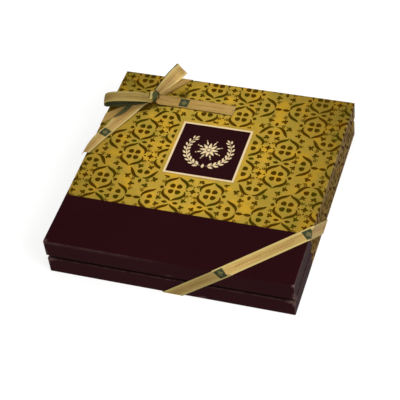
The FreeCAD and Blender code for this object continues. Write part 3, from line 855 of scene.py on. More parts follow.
BACK = ribbon_stuff("ribbon_reverse", (0.090, 0.096, 0.038), (0.056, 0.062, 0.023), False)
RIM = ribbon_stuff("ribbon_selvedge", (0.34, 0.21, 0.075), (0.26, 0.16, 0.055), False)


def ribbon_flat_stuff():
    k = Mat("ribbon_under")
    threads = k.noise(1400.0, 3.0, 0.6, k.stretch(0.06, 1.0, 1.0, (0, 0, math.radians(-45))))
    k.set(Base_Color=k.mix(k.span(threads, 0.35, 0.65), (0.40, 0.25, 0.078), (0.50, 0.325, 0.112)), Roughness=0.42, Specular_IOR_Level=0.4, Sheen_Weight=0.25)
    k.bump(threads, 0.25, 0.05)
    return k.m


wear_nodes(ribbon_flat_stuff(), "ribbon_under_left", "ribbon_under_right")


def sheet_from_grid(name, g, uvs, thick=0.25, face=None):
    """A closed thin strip round a grid of middle points; its face is on the side away from (along x across)."""
    nr, nc = len(g), len(g[0])
    k = Mesh()
    top, low = [], []
    for i in range(nr):
        ta, tb = [], []
        for j in range(nc):
            du = g[min(i + 1, nr - 1)][j] - g[max(i - 1, 0)][j]
            dv = g[i][min(j + 1, nc - 1)] - g[i][max(j - 1, 0)]
            n = -du.cross(dv).normalized()
            ta.append(k.vert(g[i][j] + n * (thick / 2), uv=uvs[i][j]))
            tb.append(k.vert(g[i][j] - n * (thick / 2), uv=uvs[i][j]))
        top.append(ta)
        low.append(tb)
    k.grid(top, 0)
    k.grid(low, 1, flip=True)
    k.grid([[r[0] for r in top], [r[0] for r in low]], 2)
    k.grid([[r[-1] for r in low], [r[-1] for r in top]], 2)
    k.grid([low[0], top[0]], 2)
    k.grid([top[-1], low[-1]], 2)
    o = k.make(name, [face or FACE, BACK, RIM], smooth=True, uv=True)
    face_out(o)
    sharp_rims(o)
    return o


def sharp_rims(o, angle=50):
    import bmesh

    bm = bmesh.new()
    bm.from_mesh(o.data)
    for e in bm.edges:
        if len(e.link_faces) == 2 and e.calc_face_angle(0) > math.radians(angle):
            e.smooth = False
    bm.to_mesh(o.data)
    bm.free()


def strap(name, first, shift1, last, shift2, u_at_edge, cols=20, kink=None, drawn=1.0, face=None):
    """A strap over the lid: up one wall, across a corner, down the next. first and last are (side, place along it).
    kink is the point where a knot gathers it, and the half width there; drawn is how far its first edge is drawn in."""
    out, rad = LID_HALF + 0.25, 0.55
    top = HEIGHT + 0.25
    R1, FOOT = HEIGHT + 0.4, 0.75

    def at(side, c, o, z):
        dx, dy = SIDES[side]
        return Vector((dx * o + abs(dy) * c, dy * o + abs(dx) * c, z))

    def span(side, d):
        return RIBBON_W / 2 / abs(d.y if SIDES[side][1] else d.x)

    p, q = at(first[0], first[1], LID_HALF + 0.4, top), at(last[0], last[1], LID_HALF + 0.4, top)
    d = (q - p).normalized()
    left = Vector((-d.y, d.x, 0))
    mid = Vector((kink[0][0], kink[0][1], top)) if kink else None
    d1, d2 = ((mid - p).normalized(), (q - mid).normalized()) if kink else (d, d)

    def row_dir(side):  # along the wall, from the strip's left edge to its right
        a = Vector((abs(SIDES[side][1]), abs(SIDES[side][0]), 0))
        return -a if a.dot(left) > 0 else a

    rows = []  # (middle, half row, flat direction there)
    r1, s1 = row_dir(first[0]), span(first[0], d1) * drawn
    r2, s2 = row_dir(last[0]), span(last[0], d2)

    def wall(side, c0, shift, r, s, up, full):
        made = []
        ax = Vector((abs(SIDES[side][1]), abs(SIDES[side][0]), 0))
        run = (Vector((0, 0, R1 - FOOT)) - ax * shift).normalized()  # upwards along the strip
        for i in range(34):
            z = FOOT + (top - rad - FOOT) * i / 33
            c = c0 + shift * (R1 - z) / (R1 - FOOT)
            dip = 0.10 * math.exp(-(((z - 18.8) / 2.0) ** 2))
            made.append((at(side, c, out - dip, z), r * (s + (full - s) * (R1 - z) / (R1 - FOOT)), run if up else -run, 0.0))
        for i in range(1, 6):
            f = math.pi / 2 * i / 6
            lean = 1.0 - i / 6
            c = c0 + shift * 0.7 / (R1 - FOOT) * lean
            made.append((at(side, c, out - rad + rad * math.cos(f), top - rad + rad * math.sin(f)), r * s, run if up else -run, 0.0))
        return made

    rows += wall(first[0], first[1], shift1, r1, s1, True, s1 / drawn)
    a, b = at(first[0], first[1], out - rad, top), at(last[0], last[1], out - rad, top)
    n = 140
    la, lb = a - r1 * s1, b - r2 * s2
    ra, rb = a + r1 * s1, b + r2 * s2
    share = (mid - a).length / ((mid - a).length + (b - mid).length) if kink else 0.5

    def bent(e0, ek, e1, t):
        return e0.lerp(ek, t / share) if t < share else ek.lerp(e1, (t - share) / (1 - share))

    for i in range(n + 1):
        t = i / n
        if kink:  # both edges run in to the knot and turn there
            near = [min(max(t + 0.01 * j, 0.0), 1.0) for j in range(-9, 10)] if 0.1 < t < 0.9 else [t]
            L = sum((bent(la, mid + left * kink[1], lb, q) for q in near), Vector()) / len(near)
            R = sum((bent(ra, mid - left * kink[1], rb, q) for q in near), Vector()) / len(near)
            rows.append(((L + R) / 2, (R - L) / 2, d, math.exp(-(((t - share) / 0.16) ** 2))))
        else:
            L, R = la.lerp(lb, t), ra.lerp(rb, t)
            rows.append(((L + R) / 2, (R - L) / 2, d, 0.0))
    rows += wall(last[0], last[1], shift2, r2, s2, False, s2)[::-1]
    g, uvs, u = [], [], 0.0
    run = [0.0]
    for x, y in zip(rows, rows[1:]):
        run.append(run[-1] + (y[0] - x[0]).length)
    edge = run[39]
    for (c, h, f, gather), u in zip(rows, run):
        g.append([c + h * (2 * j / cols - 1) + Vector((0, 0, 0.34 * gather * (0.5 + 0.5 * math.cos(2.5 * math.pi * (2 * j / cols - 1) + 0.5)))) for j in range(cols + 1)])
        uvs.append([(u - edge + u_at_edge + (h * (2 * j / cols - 1)).dot(f), RIBBON_W * j / cols) for j in range(cols + 1)])
    o = sheet_from_grid(name, g, uvs, face=face)
    return o, run[-1]


front_strap, flat_front = strap("ribbon_over_front", ("front", FRONT_STRAP_X), -SHIFT_FRONT, ("right", RIGHT_STRAP_Y), SHIFT, 2.7, face=LIT_FACE)
back_strap, flat_back = strap("ribbon_over_back", ("left", LEFT_STRAP_Y + 3.6), -SHIFT - 3.6, ("back", BACK_STRAP_X), SHIFT_BACK, 28.5, kink=(KINK, KINK_HALF), drawn=0.82)
for o, node, l in ((front_strap, "ribbon_front_strap", flat_front), (back_strap, "ribbon_back_strap", flat_back)):
    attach(o, "lid")
    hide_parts(node)


def strip_grid(stations, n, cols, bend):
    """middle points of a strip through (middle, width direction, half width) stations; bend(x, s, total) gives
    the place across in half widths and the height towards the face, at x from -1 to 1 and s along."""
    rows = catmull([[*c, *w, hw] for c, w, hw in stations], n)
    total = length_of(rows)
    g, uvs, run = [], [], 0.0
    for i, r in enumerate(rows):
        a, b = rows[max(i - 1, 0)], rows[min(i + 1, n - 1)]
        t = (Vector(b[:3]) - Vector(a[:3])).normalized()
        w = Vector(r[3:6])
        w = (w - t * w.dot(t)).normalized()
        up = w.cross(t)
        line = []
        for j in range(cols + 1):
            lat, hi = bend(2 * j / cols - 1, run, total)
            line.append(Vector(r[:3]) + w * (r[6] * lat) + up * hi)
        g.append(line)
        uvs.append([(run, RIBBON_W * j / cols) for j in range(cols + 1)])
        if i < n - 1:
            run += math.dist(r[:3], rows[i + 1][:3])
    return g, uvs, total


def lay_ribbon(name, node, g, uvs, u0, face=None):
    o = sheet_from_grid(name, g, [[(u + u0, v) for u, v in row] for row in uvs], face=face)
    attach(o, "lid")
    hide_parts(node)
    return o


KNOT = Vector((-69.0, 74.0, HEIGHT))
Z = HEIGHT


def pleats(x, far, deep, waves, phase):
    """gathers that fade away from the knot"""
    f = 1.0 - smoothstep(1.0, far, abs(pleats.s))
    return deep * f * math.cos(waves * math.pi * x + phase)


# left loop: out over the lid's left edge, its lower leaf showing its reverse in front
root = Vector((-69.0, 70.6, HEIGHT))
d = unit((-41.5, -9.9, 0))
across = Vector((d.y, -d.x, 0))
LEFT = [(0.2, 3.4, 4.6), (2.6, 4.7, 5.2), (5.8, 5.6, 5.6), (11, 6.6, 5.9), (17, 7.4, 6), (25, 8.0, 6), (33, 8.1, 6), (38.5, 7.6, 6), (41.8, 6.2, 6), (43.0, 4.1, 6), (42.5, 2.0, 6), (40.6, 0.9, 6), (37.6, 0.9, 6), (31, 0.95, 6), (24, 1.15, 6), (17, 1.8, 5.8), (11, 2.4, 5.2), (5.8, 3.0, 4.6), (2.6, 3.3, 3.6)]


def loop_bend(deep):
    def f(x, s, total):
        near = min(s, total - s)
        pleats.s = near
        lean = 0.22 * x * math.sin(math.pi * s / total)
        return x, pleats(x, 17.0, deep, 2.5, 0.6) - 0.30 * x * x * math.sin(math.pi * s / total) + lean

    return f


g, uvs, total = strip_grid([(root + d * s + Vector((0, 0, z)), across, hw) for s, z, hw in LEFT], 150, 18, loop_bend(0.42))
# the left loop takes the copy of the satin in painted shade
left_loop = lay_ribbon("bow_loop_left", "bow_left_loop", g, uvs, 14.0, SHADED_FACE)

start, end = Vector((-67.0, 77.6, Z + 4.4)), Vector((-49.0, 100.6, Z + 16.2))
axis = (end - start).normalized()
SIGHT = Vector((0.2636, -0.6347, 0.7264))
across = axis.cross(SIGHT).normalized()
out = across.cross(axis)
far = (end - start).length / 30.0
HALF = [(1.5, 0.9, 3.0), (5.5, 1.9, 3.7), (9, 2.8, 4.4), (14, 3.7, 5.2), (19, 4.2, 5.8), (25, 4.0, 6), (29, 2.4, 6)]
# the back leaf stands a little wide of the front one on the far side
RIGHT = [(s, k, 0.98 * hw, 0.0) for s, k, hw in HALF] + [(30.2, 0, 6, -0.3)] + [(s, -k, 0.99 * hw, -1.15) for s, k, hw in HALF[::-1]]
g, uvs, total = strip_grid([(start + axis * (s * far) + out * k + across * c, across, hw) for s, k, hw, c in RIGHT], 120, 18, loop_bend(0.40))
right_loop = lay_ribbon("bow_loop_right", "bow_right_loop", g, uvs, 16.0, LIT_EDGE_FACE)


def tail_stations(points):
    made = []
    n = len(points)
    for i, (x, y, z, hw, tilt) in enumerate(points):
        a, b = points[max(i - 1, 0)], points[min(i + 1, n - 1)]
        t = unit((b[0] - a[0], b[1] - a[1], b[2] - a[2]))
        level = t.cross(Vector((0, 0, 1))).normalized()
        rise = level.cross(t)
        an = math.radians(tilt)
        made.append((Vector((x, y, Z + z)), level * math.cos(an) - rise * math.sin(an), hw))
    return made


def right_tail_bend(x, s, total):
    pleats.s = s
    return x, pleats(x, 16.0, 0.35, 2.5, 0.0) + 0.05 * x * x + 0.09 * math.sin(s * 0.16) * smoothstep(20, 40, s)


RIGHT_TAIL = [(-65.6, 73.0, 2.6, 4.7, 0), (-63.2, 73.3, 1.6, 5.7, 0), (-60, 73.7, 1.15, 6, 0), (-55, 74.1, 0.75, 6, 0), (-48, 74.4, 0.50, 6, 0), (-40.8, 74.5, 0.42, 6, 0), (-24.5, 74.2, 0.40, 6, 0), (-8, 74.1, 0.40, 6, 0), (5.4, 73.8, 0.44, 6, 0)]
g, uvs, total = strip_grid(tail_stations(RIGHT_TAIL), 130, 16, right_tail_bend)
right_tail = lay_ribbon("bow_tail_right", "bow_right_tail", g, uvs, -25.0)


def turned(x, turn, hw=6.0, r=0.42):
    """An edge of a strip turned back over itself beyond a crease: the place across and the height."""
    crease = 1.0 - turn
    if x <= crease:
        return x, 0.0
    over = (x - crease) * hw
    bend = min(over / r, math.pi)
    flat = max(over - r * math.pi, 0.0)
    return crease + (r * math.sin(bend) - flat) / hw, r * (1 - math.cos(bend)) + 0.06 * flat


def left_tail_bend(x, s, total):
    pleats.s = s
    full = smoothstep(1.0, 9.0, s) * (1.0 - smoothstep(25.0, 47.0, s))  # the back edge is drawn out and turned over
    if x > 0:
        x *= 1.0 + 1.27 * full
    lat, hi = turned(x, -0.21, 5.2, 0.5)
    hi += pleats(x, 14.0, 0.22, 2.5, 0.4)
    if x < -0.1:  # the front part lies flatter
        hi -= 0.60 * (-0.1 - x) * smoothstep(8.0, 24.0, s)
    return lat, hi


LEFT_TAIL = [(-71.0, 71.4, 2.0, 3.0, 0), (-77.0, 66.9, 1.5, 4.4, 0), (-81.0, 61.8, 1.2, 5.2, 0), (-83.5, 56.1, 1.0, 5.2, 0), (-86.3, 49.6, 0.95, 5.2, 0), (-90.3, 41.0, 0.9, 5.2, 0), (-94.5, 31.8, 0.81, 5.2, 1), (-98.4, 23.2, 0.73, 5.2, 3), (-101.9, 14.7, 0.65, 5.2, 5), (-104.5, 7.8, 0.56, 5.2, 6), (-107.9, -0.5, 0.52, 5.2, 6)]
g, uvs, total = strip_grid(tail_stations(LEFT_TAIL), 150, 30, left_tail_bend)
way = (g[-1][15] - g[-4][15]).normalized()
for line, row in zip(g, uvs):
    for j, q in enumerate(line):
        cut = smoothstep(total - 16.0, total, row[0][0]) * (1.4 * (j / 15.0 - 1.0) + 0.6)  # the end is cut aslant
        q += way * cut
        row[j] = (row[j][0] + cut, row[j][1])
        # beyond the lid's edge it bends down over it
        o = -104.4 - q.x
        if o > 0:
            r, most = 6.5, 1.0
            an = min(o / r, most)
            rest = max(o - r * most, 0.0)
            q.x = -104.4 - r * math.sin(an) - rest * math.cos(most)
            q.z -= r * (1 - math.cos(an)) + rest * math.sin(most)
left_tail = lay_ribbon("bow_tail_left", "bow_left_tail", g, uvs, -54.5, LIT_EDGE_FACE)


def build_knot():
    """The short wrap round the middle of the bow: a gathered band, one edge turned back so that its reverse shows."""
    a = Vector((math.cos(math.radians(12)), math.sin(math.radians(12)), 0))
    b = Vector((-a.y, a.x, 0))
    middle = KNOT + Vector((0, 0, 4.05))
    nr, cols = 130, 44
    g, uvs, run = [], [], 0.0
    prev = None
    for i in range(nr + 1):
        f = 2 * math.pi * (i / nr) * 1.06 - math.pi / 2 - 0.2  # starts and ends underneath, overlapping a little
        c, s = math.cos(f), math.sin(f)
        k = (abs(c) ** 2.3 + abs(s) ** 2.3) ** (-1 / 2.3)
        lift = 0.20 * (i / nr)
        base = b * (c * k * (5.2 + lift)) + Vector((0, 0, s * k * (2.95 + lift)))
        nrm = (b * (c / 5.2) + Vector((0, 0, s / 2.95))).normalized()
        show = math.sin(math.pi * min(max((f - 0.25) / 3.35, 0.0), 1.0))
        under = smoothstep(1.95, 2.7, abs(f - 1.6))
        hw = 3.5 + 2.1 * show**0.7 + 1.7 * under
        turn = 0.93 * show**0.65
        crease = 3.6 - 2.5 * smoothstep(2.1, 3.6, f) - 0.5 * (1 - smoothstep(0.2, 1.1, f))
        shift = (crease - hw * (1.0 - turn)) * (1 - under)
        line = []
        for j in range(cols + 1):
            x = 2 * j / cols - 1
            lat, hi = turned(x, turn, hw)
            gather = (0.24 + 0.34 * (1 - show) * (1 - under)) * math.cos(3.0 * math.pi * lat + 0.5 * math.sin(2 * f)) * (1 - 0.4 * abs(lat))
            place_a = hw * lat + shift
            line.append(middle + base + a * place_a + nrm * (gather + hi - 0.075 * place_a * place_a))
        if prev is not None:
            run += (line[cols // 2] - prev).length
        prev = line[cols // 2]
        g.append(line)
        uvs.append([(run + 14.0, RIBBON_W * j / cols) for j in range(cols + 1)])
    return g[::-1], uvs[::-1], run


g, uvs, total = build_knot()
knot = sheet_from_grid("bow_knot_wrap", g, uvs, face=LIT_KNOT_FACE)
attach(knot, "lid")
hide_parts("bow_knot")


# ------------------------------------------------------------------ tray
PITCH, TRAY_TOP, TRAY_HALF, TRAY_FOOT = 38.6, 26.0, 99.9, 3.05
PLACES = [(PITCH * (i - 2), PITCH * (j - 2)) for j in range(5) for i in range(5)]


def soft_square(half, r, n=6, side=5):
    """outline of a square with rounded corners, counter-clockwise"""
    k = half - r
    out = []
    for q in range(4):
        a = math.pi / 2 * q
        c, s = math.cos(a), math.sin(a)
        pts = [(half, -k + 2 * k * i / side) for i in range(side)]
        pts += [(k + r * math.cos(f), k + r * math.sin(f)) for f in [math.pi / 2 * i / n for i in range(n)]]
        out += [(x * c - y * s, x * s + y * c) for x, y in pts]
    return out


def foil():
    k = Mat("tray_plastic")
    drift = k.noise(30.0, 2.0)
    haze = k.noise(260.0, 3.0, 0.6)
    k.set(Base_Color=k.mix(k.span(drift, 0.3, 0.7), (0.50, 0.33, 0.115), (0.60, 0.41, 0.150)), Metallic=0.82, Specular_IOR_Level=0.5)
    k.set(Roughness=k.span(k.math("ADD", k.math("MULTIPLY", haze, 0.6), k.math("MULTIPLY", drift, 0.4)), 0.3, 0.7, 0.20, 0.32))
    k.bump(k.noise(90.0, 2.0), 0.12, 0.3)
    return k.m


def build_tray():
    k = Mesh()
    # the deck: a rounded square with a soft opening over each well, in one triangulation
    lip, deck = 1.1, 1.4
    outer = soft_square(TRAY_HALF - deck, 4.0 - deck * 0.5, 6, 20)
    verts, faces = [Vector(p) for p in outer], [list(range(len(outer)))]
    for x, y in PLACES:
        ring = [(x + a, y + b) for a, b in soft_square(16.75 + lip, 6.0 + lip * 0.6)]
        i = len(verts)
        verts += [Vector(p) for p in ring]
        faces.append(list(range(i, i + len(ring))))
    v, _, f, _, _, of = geometry.delaunay_2d_cdt(verts, [], faces, 1, 1e-5, True)
    ids = [k.vert((p.x, p.y, TRAY_TOP)) for p in v]
    for t, own in zip(f, of):
        if own == [0] or tuple(own) == (0,):
            k.face([ids[i] for i in t])
    # the skirt
    rows = [[k.vert((x, y, TRAY_TOP)) for x, y in outer]]
    for i in range(1, 6):
        a = math.pi / 2 * i / 5
        o = TRAY_HALF - deck + deck * math.sin(a)
        rows.append([k.vert((x, y, TRAY_TOP - deck + deck * math.cos(a))) for x, y in soft_square(o, 4.0 - deck * 0.5 + 0.5 * deck * math.sin(a), 6, 20)])
    for z in (19.0, 12.0, 5.6):
        rows.append([k.vert((x, y, z)) for x, y in soft_square(TRAY_HALF - 0.02, 4.0, 6, 20)])
    rows.append([k.vert((x, y, TRAY_FOOT + 0.1)) for x, y in soft_square(TRAY_HALF - 0.02, 4.0, 6, 20)])
    k.grid(rows, close=True)
    # the wells: a rolled lip, a drafted wall with three steps of ribbing, a rounded foot and a dished floor
    for x, y in PLACES:
        prof = []
        for i in range(6):
            a = math.pi / 2 * i / 5
            prof.append((16.75 + lip - lip * math.sin(a), TRAY_TOP - lip + lip * math.cos(a)))
        z0, z1 = TRAY_TOP - lip, 7.1
        for i in range(1, 8):
            t = i / 8
            half = 16.75 - 0.25 + (14.5 + 0.35 - 16.5) * t
            prof.append((half + 0.12 * math.sin(t * 6 * math.pi), z0 + (z1 - z0) * t))
        foot = 1.6
        for i in range(6):
            a = math.pi / 2 * i / 5
            prof.append((14.85 - foot + foot * math.cos(a), 5.5 + foot - foot * math.sin(a)))
        prof += [(11.0, 5.5), (9.4, 5.5), (8.6, 5.34), (4.0, 5.30)]
        rows = []
        for half, z in prof:
            r = max(min(6.0 + 0.6 * lip, 6.0 - (16.75 - half) * 0.5), 1.4) if half <= 16.75 else 6.0 + (half - 16.75) * 0.6
            rows.append([k.vert((x + a, y + b, z)) for a, b in soft_square(half, min(r, half - 0.5))])
        k.grid(rows, close=True, flip=True)
        c = k.vert((x, y, 5.29))
        n = len(rows[-1])
        for i in range(n):
            k.face((rows[-1][i], rows[-1][(i + 1) % n], c))
    o = k.make("tray_formed", [foil()], smooth=True, weld=0.003)
    face_out(o)
    up = sum((p.normal.z * p.area) for p in o.data.polygons)
    if up < 0:
        o.data.flip_normals()
    # give the sheet its thickness, inwards and downwards
    m = o.modifiers.new("thickness", "SOLIDIFY")
    m.thickness = 0.28 * MM
    m.offset = -1.0
    settle(o)
    return o


def settle(o):
    """Applies an object's modifiers to its mesh."""
    dg = bpy.context.evaluated_depsgraph_get()
    dg.update()
    me = bpy.data.meshes.new_from_object(o.evaluated_get(dg))
    old = o.data
    o.modifiers.clear()
    o.data = me
    bpy.data.meshes.remove(old)


tray = build_tray()
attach(tray, "tray")
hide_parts("praline_tray")

# ------------------------------------------------------------------ pralines
LOW = 5.55
LAYOUT = ["ABCBA", "DEFED", "CFAFC", "DEFED", "ABCBA"]


def spots(kind):
    return [(PITCH * (i - 2), PITCH * (j - 2)) for j in range(5) for i in range(5) if LAYOUT[j][i] == kind]


def chocolate(name, tone, tone2, rough=(0.28, 0.42), bloom=0.0):
    """Tempered chocolate: satin, a little uneven, with fine pits and soft mould marks."""
    k = Mat(name)
    drift, fine = k.noise(120.0, 3.0), k.noise(900.0, 4.0, 0.65)
    c = k.mix(k.span(drift, 0.3, 0.7), tone, tone2)
    if bloom:
        c = k.mix(k.span(fine, 0.55, 0.75, 0.0, bloom), c, (0.55, 0.38, 0.24))
    k.set(Base_Color=c, Specular_IOR_Level=0.45, Subsurface_Weight=0.04, Subsurface_Radius=(0.002, 0.001, 0.0006))
    k.set(Roughness=k.span(k.math("ADD", k.math("MULTIPLY", drift, 0.5), k.math("MULTIPLY", fine, 0.5)), 0.3, 0.7, rough[0], rough[1]))
    b = k.bump(fine, 0.25, 0.10)
    k.bump(k.noise(210.0, 2.0), 0.20, 0.25, b)
    return k.m


DARK = chocolate("dark_chocolate", (0.030, 0.0115, 0.0060), (0.040, 0.0160, 0.0085))
MILK = chocolate("milk_chocolate", (0.150, 0.058, 0.0235), (0.185, 0.074, 0.0310))
WHITE = chocolate("white_chocolate", (0.66, 0.50, 0.285), (0.72, 0.565, 0.335), rough=(0.34, 0.46))


def cocoa():
    k = Mat("cocoa_dust")
    a, b = k.noise(520.0, 5.0, 0.75), k.noise(2400.0, 4.0, 0.7)
    c = k.mix(k.span(a, 0.35, 0.65), (0.085, 0.034, 0.014), (0.165, 0.074, 0.033))
    c = k.mix(k.span(b, 0.58, 0.72, 0.0, 0.6), c, (0.26, 0.135, 0.065))
    k.set(Base_Color=c, Roughness=0.96, Specular_IOR_Level=0.08)
    n = k.bump(b, 0.7, 0.25)
    k.bump(a, 0.5, 0.5, n)
    return k.m


def hazel():
    k = Mat("hazelnut")
    streak = k.noise(420.0, 4.0, 0.65, k.stretch(1.0, 1.0, 0.18), 0.4)
    patch = k.noise(260.0, 3.0, 0.6)
    c = k.mix(k.span(streak, 0.35, 0.65), (0.34, 0.165, 0.060), (0.50, 0.275, 0.110))
    c = k.mix(k.span(patch, 0.56, 0.66), c, (0.70, 0.49, 0.255))
    k.set(Base_Color=c, Roughness=k.span(streak, 0.3, 0.7, 0.42, 0.6), Specular_IOR_Level=0.4)
    k.bump(streak, 0.4, 0.25)
    return k.m


def rings_up(k, rings, mat=0):
    """A closed form from rings of points; each end is filled round its middle."""
    rows = [[k.vert(p) for p in ring] for ring in rings]
    k.grid(rows, mat, close=True)
    for row, ring, turn in ((rows[0], rings[0], True), (rows[-1], rings[-1], False)):
        n = len(ring)
        c = k.vert([sum(p[q] for p in ring) / n for q in range(3)])
        for i in range(n):
            f = (row[i], row[(i + 1) % n], c)
            k.face(f[::-1] if turn else f, mat)


def bead(k, path, radius, mat, flat=0.75, n=10):
    """A piped line of chocolate along a path of points; it thins to its ends."""
    rings = []
    m = len(path)
    for i, p in enumerate(path):
        a, b = Vector(path[max(i - 1, 0)]), Vector(path[min(i + 1, m - 1)])
        t = (b - a).normalized()
        side = t.cross(Vector((0, 0, 1))).normalized()
        up = side.cross(t)
        r = radius * (0.25 + 0.75 * min(1.0, 6.0 * i / m, 6.0 * (m - 1 - i) / m))
        rings.append([Vector(p) + side * (r * math.cos(f)) + up * (r * flat * math.sin(f)) for f in [2 * math.pi * j / n for j in range(n)]])
    rings_up(k, rings, mat)


def place(ring, x, y, turn=0.0):
    c, s = math.cos(turn), math.sin(turn)
    return [(x + p[0] * c - p[1] * s, y + p[0] * s + p[1] * c, p[2] + LOW) for p in ring]


rnd = random.Random(7)


def build_squares():
    k = Mesh()
    for x, y in spots("A"):
        rings = []
        for half, r, z in ((12.5, 2.2, 0.0), (13.0, 2.5, 0.35), (13.2, 2.6, 1.2), (12.95, 2.6, 6.0), (12.7, 2.6, 12.6), (12.62, 2.6, 13.5), (12.3, 2.5, 14.2), (11.5, 2.3, 15.1), (10.9, 2.1, 15.75), (10.4, 2.0, 16.1), (9.8, 1.9, 16.22), (8.6, 1.7, 16.1), (7.4, 1.5, 16.05), (3.0, 0.8, 16.05)):
            rings.append(place([(a, b, z) for a, b in soft_square(half, r, 6, 6)], x, y))
        rings_up(k, rings, 0)
        turn = rnd.choice((0, math.pi / 2))
        path = []
        for i in range(121):
            t = i / 120
            path.append((-8.2 + 16.4 * t, 6.9 * math.sin(t * 7 * math.pi) * (0.9 + 0.1 * math.sin(9 * t)), 16.25))
        bead(k, place(path, x, y, turn + 0.15), 0.62, 1)
    return k.make("pralines_square", [DARK, WHITE], smooth=True)


def build_domes():
    k = Mesh()
    for x, y in spots("B"):
        off = rnd.uniform(0, 6.28)
        rings = []
        prof = [(12.9, 0.0), (13.4, 0.3), (13.7, 1.2), (13.8, 2.2)] + [(13.8 * math.cos(t), 2.2 + 15.1 * math.sin(t)) for t in [math.radians(4 + 4.3 * i) for i in range(20)]]
        for r, z in prof:
            d = smoothstep(1.5, 4.5, z)
            ring = []
            for i in range(120):
                f = 2 * math.pi * i / 120
                w = math.cos(9 * (f + 0.105 * z) + off)
                q = r * (1 - d * 0.055 * (0.5 - 0.5 * w) ** 0.7)
                ring.append((q * math.cos(f), q * math.sin(f), z))
            rings.append(place(ring, x, y))
        rings_up(k, rings, 0)
        tip = []
        for i in range(26):
            t = i / 25
            tip.append((1.9 * (1 - t) * math.cos(9 * t), 1.9 * (1 - t) * math.sin(9 * t), 16.7 + 0.55 * t))
        bead(k, place(tip, x, y), 0.65, 0, 0.8)
    return k.make("pralines_dome", [MILK], smooth=True)


def build_logs():
    k = Mesh()
    for x, y in spots("C"):
        turn = math.pi / 2 if abs(x) > abs(y) else 0.0
        rings = []
        for i in range(97):
            t = -1 + 2 * i / 96
            l = 14.1 * t
            end = 1.0 - 0.22 * smoothstep(0.86, 1.0, abs(t)) ** 1.6
            ring = []
            for j in range(48):
                a = 2 * math.pi * j / 48
                cx, sx = math.cos(a), math.sin(a)
                px = 9.3 * math.copysign(abs(cx) ** 0.72, cx)
                pz = 7.4 + 7.4 * math.copysign(abs(sx) ** (0.80 if sx > 0 else 0.45), sx)
                if sx > 0:  # combed waves across the back
                    wave = math.sin(2 * math.pi * (l + 1.5 * math.sin(0.45 * px)) / 2.7)
                    pz += 0.34 * wave * sx
                pz = 7.4 + (pz - 7.4) * end
                ring.append((px * end, l, max(pz, 0.0)))
            rings.append(place(ring[::-1], x, y, turn))
        rings_up(k, rings[::-1], 0)
    return k.make("pralines_log", [DARK], smooth=True)


def stadium(length, width, n=72):
    out = []
    r, h = width / 2, length / 2 - width / 2
    for i in range(n):
        a = 2 * math.pi * i / n
        out.append((h * math.copysign(min(1.0, abs(math.cos(a)) * 1.9), math.cos(a)) + r * math.cos(a), r * math.sin(a)))
    return out


def build_ovals():
    k = Mesh()
    for x, y in spots("D"):
        rings = []
        for s, z in ((-0.9, 0.0), (-0.25, 0.3), (0.0, 1.1), (-0.15, 5.0), (-0.4, 9.0), (-0.8, 10.6), (-1.6, 11.9), (-2.6, 12.8), (-3.8, 13.5), (-5.4, 14.0), (-7.4, 14.25)):
            rings.append(place([(a, b, z) for a, b in stadium(28.3 + 2 * s, 20.3 + 2 * s)], x, y))
        rings_up(k, rings, 0)
        for c in (-6.6, -2.6, 1.6, 5.8):  # drizzle across the back
            path = []
            for i in range(45):
                t = -1 + 2 * i / 44
                py = 9.0 * t
                px = c + 1.6 * t + 0.45 * math.sin(5 * t + c)
                far = math.hypot(max(abs(px) - 4.0, 0.0), py) / 10.1
                z = 14.28 - 3.3 * max(far - 0.30, 0.0) ** 1.7 * 1.75
                path.append((px, py, z + 0.12))
            bead(k, place(path, x, y), 0.52, 1)
    return k.make("pralines_oval", [WHITE, DARK], smooth=True)


def build_cups():
    k = Mesh()
    for x, y in spots("E"):
        rings = []
        prof = [(10.7, 0.0), (11.15, 0.35), (11.35, 1.0)] + [(11.35 + 2.15 * (z - 1.0) / 11.6, z) for z in (3.0, 5.0, 7.0, 9.0, 11.0, 12.6)] + [(13.45, 13.4), (13.1, 13.95), (12.4, 14.15), (11.4, 13.95), (10.2, 13.6), (8.6, 13.4), (7.2, 13.5), (6.5, 13.7), (5.0, 13.2)]
        for n, (r, z) in enumerate(prof):
            ring = []
            for i in range(128):
                f = 2 * math.pi * i / 128
                d = smoothstep(0.4, 2.0, z) * (1 - smoothstep(11.6, 13.6, z)) if n < 12 else 0.0
                q = r * (1 - 0.030 * d * (0.5 - 0.5 * math.cos(16 * f)))
                ring.append((q * math.cos(f), q * math.sin(f), z))
            rings.append(place(ring, x, y))
        rings_up(k, rings, 0)
    return k.make("pralines_cup", [MILK], smooth=True)


def build_nuts():
    k = Mesh()
    for x, y in spots("E"):
        off, lean = rnd.uniform(0, 6.28), rnd.uniform(-0.10, 0.10)
        rings = []
        for i in range(1, 25):
            a = math.pi * i / 25
            z = 15.2 - 6.2 * math.cos(a) * (1.0 if a < math.pi / 2 else 0.775)
            r = 6.3 * math.sin(a) ** 0.92
            z += 0.25 * smoothstep(0.75, 1.0, i / 25)
            ring = []
            for j in range(72):
                f = 2 * math.pi * j / 72
                q = r * (1 + 0.018 * math.cos(11 * f + off) * math.sin(a) + 0.02 * math.cos(2 * f + off))
                ring.append((q * math.cos(f) + lean * (z - 15.2), q * math.sin(f), min(z, 20.05)))
            rings.append(place(ring, x, y))
        rings_up(k, rings, 0)
    return k.make("hazelnuts", [hazel()], smooth=True)


